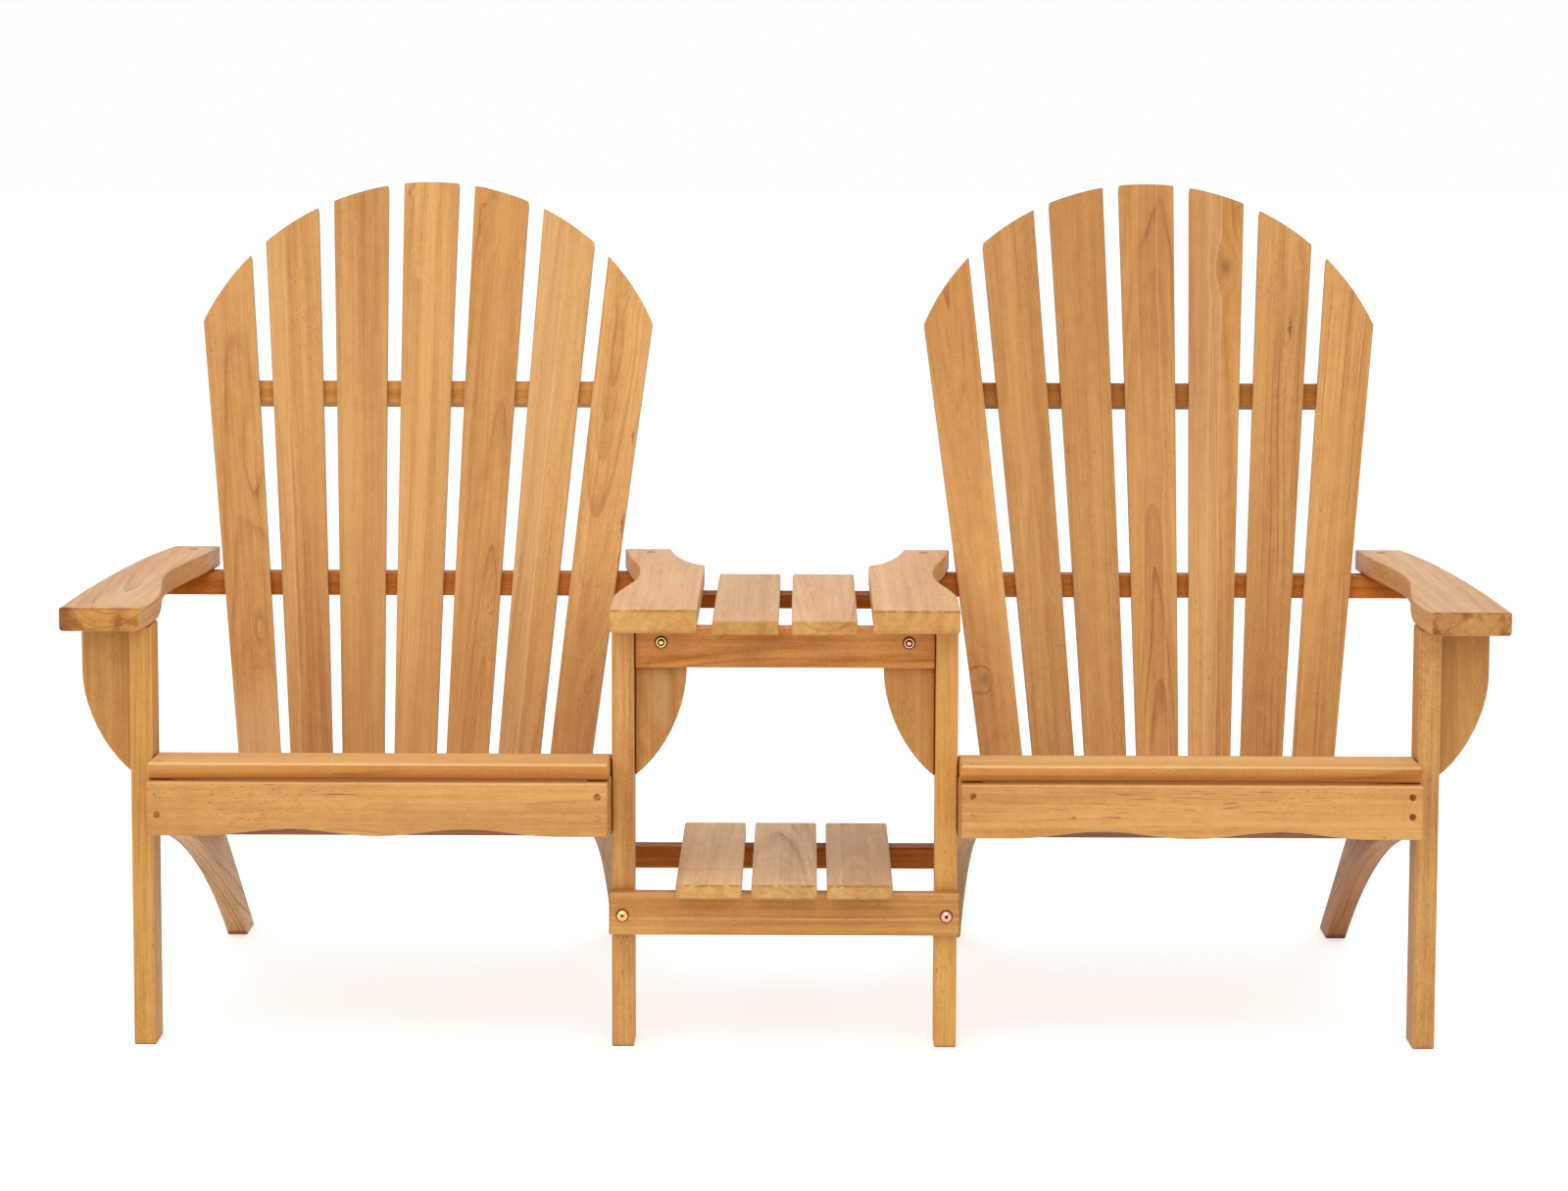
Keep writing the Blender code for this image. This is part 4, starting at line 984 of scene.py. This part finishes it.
def rear_row(shape, chair, rail, rings):
    """A plug behind each back slat on the rear face of a rail."""
    up = Vector((0.0, math.sin(RECLINE), math.cos(RECLINE)))
    out = Vector((0.0, math.cos(RECLINE), -math.sin(RECLINE)))
    verts = [vert.co for vert in NODES[f"{chair}_{rail}"].data.vertices]
    face = max(vert.dot(out) for vert in verts)
    level = (max(vert.dot(up) for vert in verts) + min(vert.dot(up) for vert in verts)) / 2
    for number in range(BACK_SLATS):
        # The slat's middle line runs from the middle of its foot to the middle of its head
        slat = [vert.co for vert in NODES[f"{chair}_back_slat_{number + 1}"].data.vertices]
        near = sorted(slat, key=lambda co: co.dot(up))
        foot = near[:END_POINTS]
        head = near[-END_POINTS:]
        foot_up = sum(co.dot(up) for co in foot) / END_POINTS
        head_up = sum(co.dot(up) for co in head) / END_POINTS
        foot_x = (min(co.x for co in foot) + max(co.x for co in foot)) / 2
        head_x = (min(co.x for co in head) + max(co.x for co in head)) / 2
        share = (level - foot_up) / (head_up - foot_up)
        spot = Vector((foot_x + (head_x - foot_x) * share, 0.0, 0.0)) + out * face + up * level
        turn = Matrix((Vector((1, 0, 0)), out.cross(Vector((1, 0, 0))), out)).transposed().to_4x4()
        turned(shape, Matrix.Translation(spot) @ turn, rings, PLUG_SIDES)


add_bolts()
add_plugs()


def add_light(name, place, target, size, energy):
    """A soft rectangular lamp that points at its target."""
    lamp = bpy.data.lights.new(name, "AREA")
    lamp.shape = "RECTANGLE"
    lamp.size, lamp.size_y = size
    lamp.energy = energy
    lamp.color = LAMP_COLOUR
    holder = bpy.data.objects.new(name, lamp)
    bpy.context.scene.collection.objects.link(holder)
    holder.location = place
    holder.rotation_euler = (Vector(target) - Vector(place)).to_track_quat("-Z", "Y").to_euler()


def seen_directly(g):
    """1 for what the camera and clear reflections see, 0 for light that falls on the object."""
    rays = node(g.tree, "ShaderNodeLightPath").outputs
    reflected = g.math("MAXIMUM", rays["Is Glossy Ray"], rays["Is Transmission Ray"])
    return g.math("MAXIMUM", rays["Is Camera Ray"], reflected)


def white_where_seen(tree, plain, output, lift):
    """Adds white light that only the camera and clear reflections see."""
    g = Graph(tree)
    glow = node(tree, "ShaderNodeEmission")
    glow.inputs["Color"].default_value = WHITE
    g.put(g.math("MULTIPLY", seen_directly(g), lift), glow.inputs["Strength"])
    both = node(tree, "ShaderNodeAddShader")
    g.put(plain, both.inputs[0])
    g.put(glow.outputs[0], both.inputs[1])
    g.put(both.outputs[0], output)


def add_studio():
    """Pale floor, white surroundings and soft lamps above and in front."""
    world = bpy.data.worlds.new("studio")
    bpy.context.scene.world = world
    world.use_nodes = True
    tree = world.node_tree
    g = Graph(tree)
    back = tree.nodes["Background"]
    back.inputs["Color"].default_value = WHITE
    g.put(g.remap(seen_directly(g), 0.0, 1.0, WORLD_LIGHT, 1.0, smooth=False), back.inputs["Strength"])

    shape = bmesh.new()
    bmesh.ops.create_grid(shape, x_segments=1, y_segments=1, size=FLOOR_HALF_SIZE)
    mesh = bpy.data.meshes.new("floor")
    shape.to_mesh(mesh)
    shape.free()
    floor = bpy.data.objects.new("floor", mesh)
    bpy.context.scene.collection.objects.link(floor)
    material = bpy.data.materials.new("floor")
    material.use_nodes = True
    tree = material.node_tree
    plain = node(tree, "ShaderNodeBsdfDiffuse")
    plain.inputs["Color"].default_value = FLOOR_COLOUR
    white_where_seen(tree, plain.outputs[0], tree.nodes["Material Output"].inputs["Surface"], FLOOR_LIFT)
    mesh.materials.append(material)

    for lamp in LAMPS:
        add_light(*lamp)


add_studio()


def add_camera():
    """The photograph's camera."""
    front_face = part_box("left_front_leg_inner")[0][1]
    turn = Matrix.Rotation(CAMERA_YAW, 3, "Z") @ Matrix.Rotation(CAMERA_PITCH, 3, "X")
    right = turn @ Vector((1, 0, 0))
    forward = turn @ Vector((0, 1, 0))
    down = turn @ Vector((0, 0, -1))
    across = math.cos(CAMERA_ROLL) * right + math.sin(CAMERA_ROLL) * down
    fall = -math.sin(CAMERA_ROLL) * right + math.cos(CAMERA_ROLL) * down
    camera = bpy.data.cameras.new("camera")
    camera.sensor_width = SENSOR_WIDTH
    camera.lens = SENSOR_WIDTH * FOCAL_PIXELS / PHOTO_WIDTH
    holder = bpy.data.objects.new("camera", camera)
    bpy.context.scene.collection.objects.link(holder)
    holder.matrix_world = (Matrix.Translation((CAMERA_X, front_face - CAMERA_DISTANCE, CAMERA_HEIGHT))
                           @ Matrix((across, -fall, -forward)).transposed().to_4x4())
    bpy.context.scene.camera = holder


add_camera()
bpy.context.scene.view_settings.view_transform = "Standard"
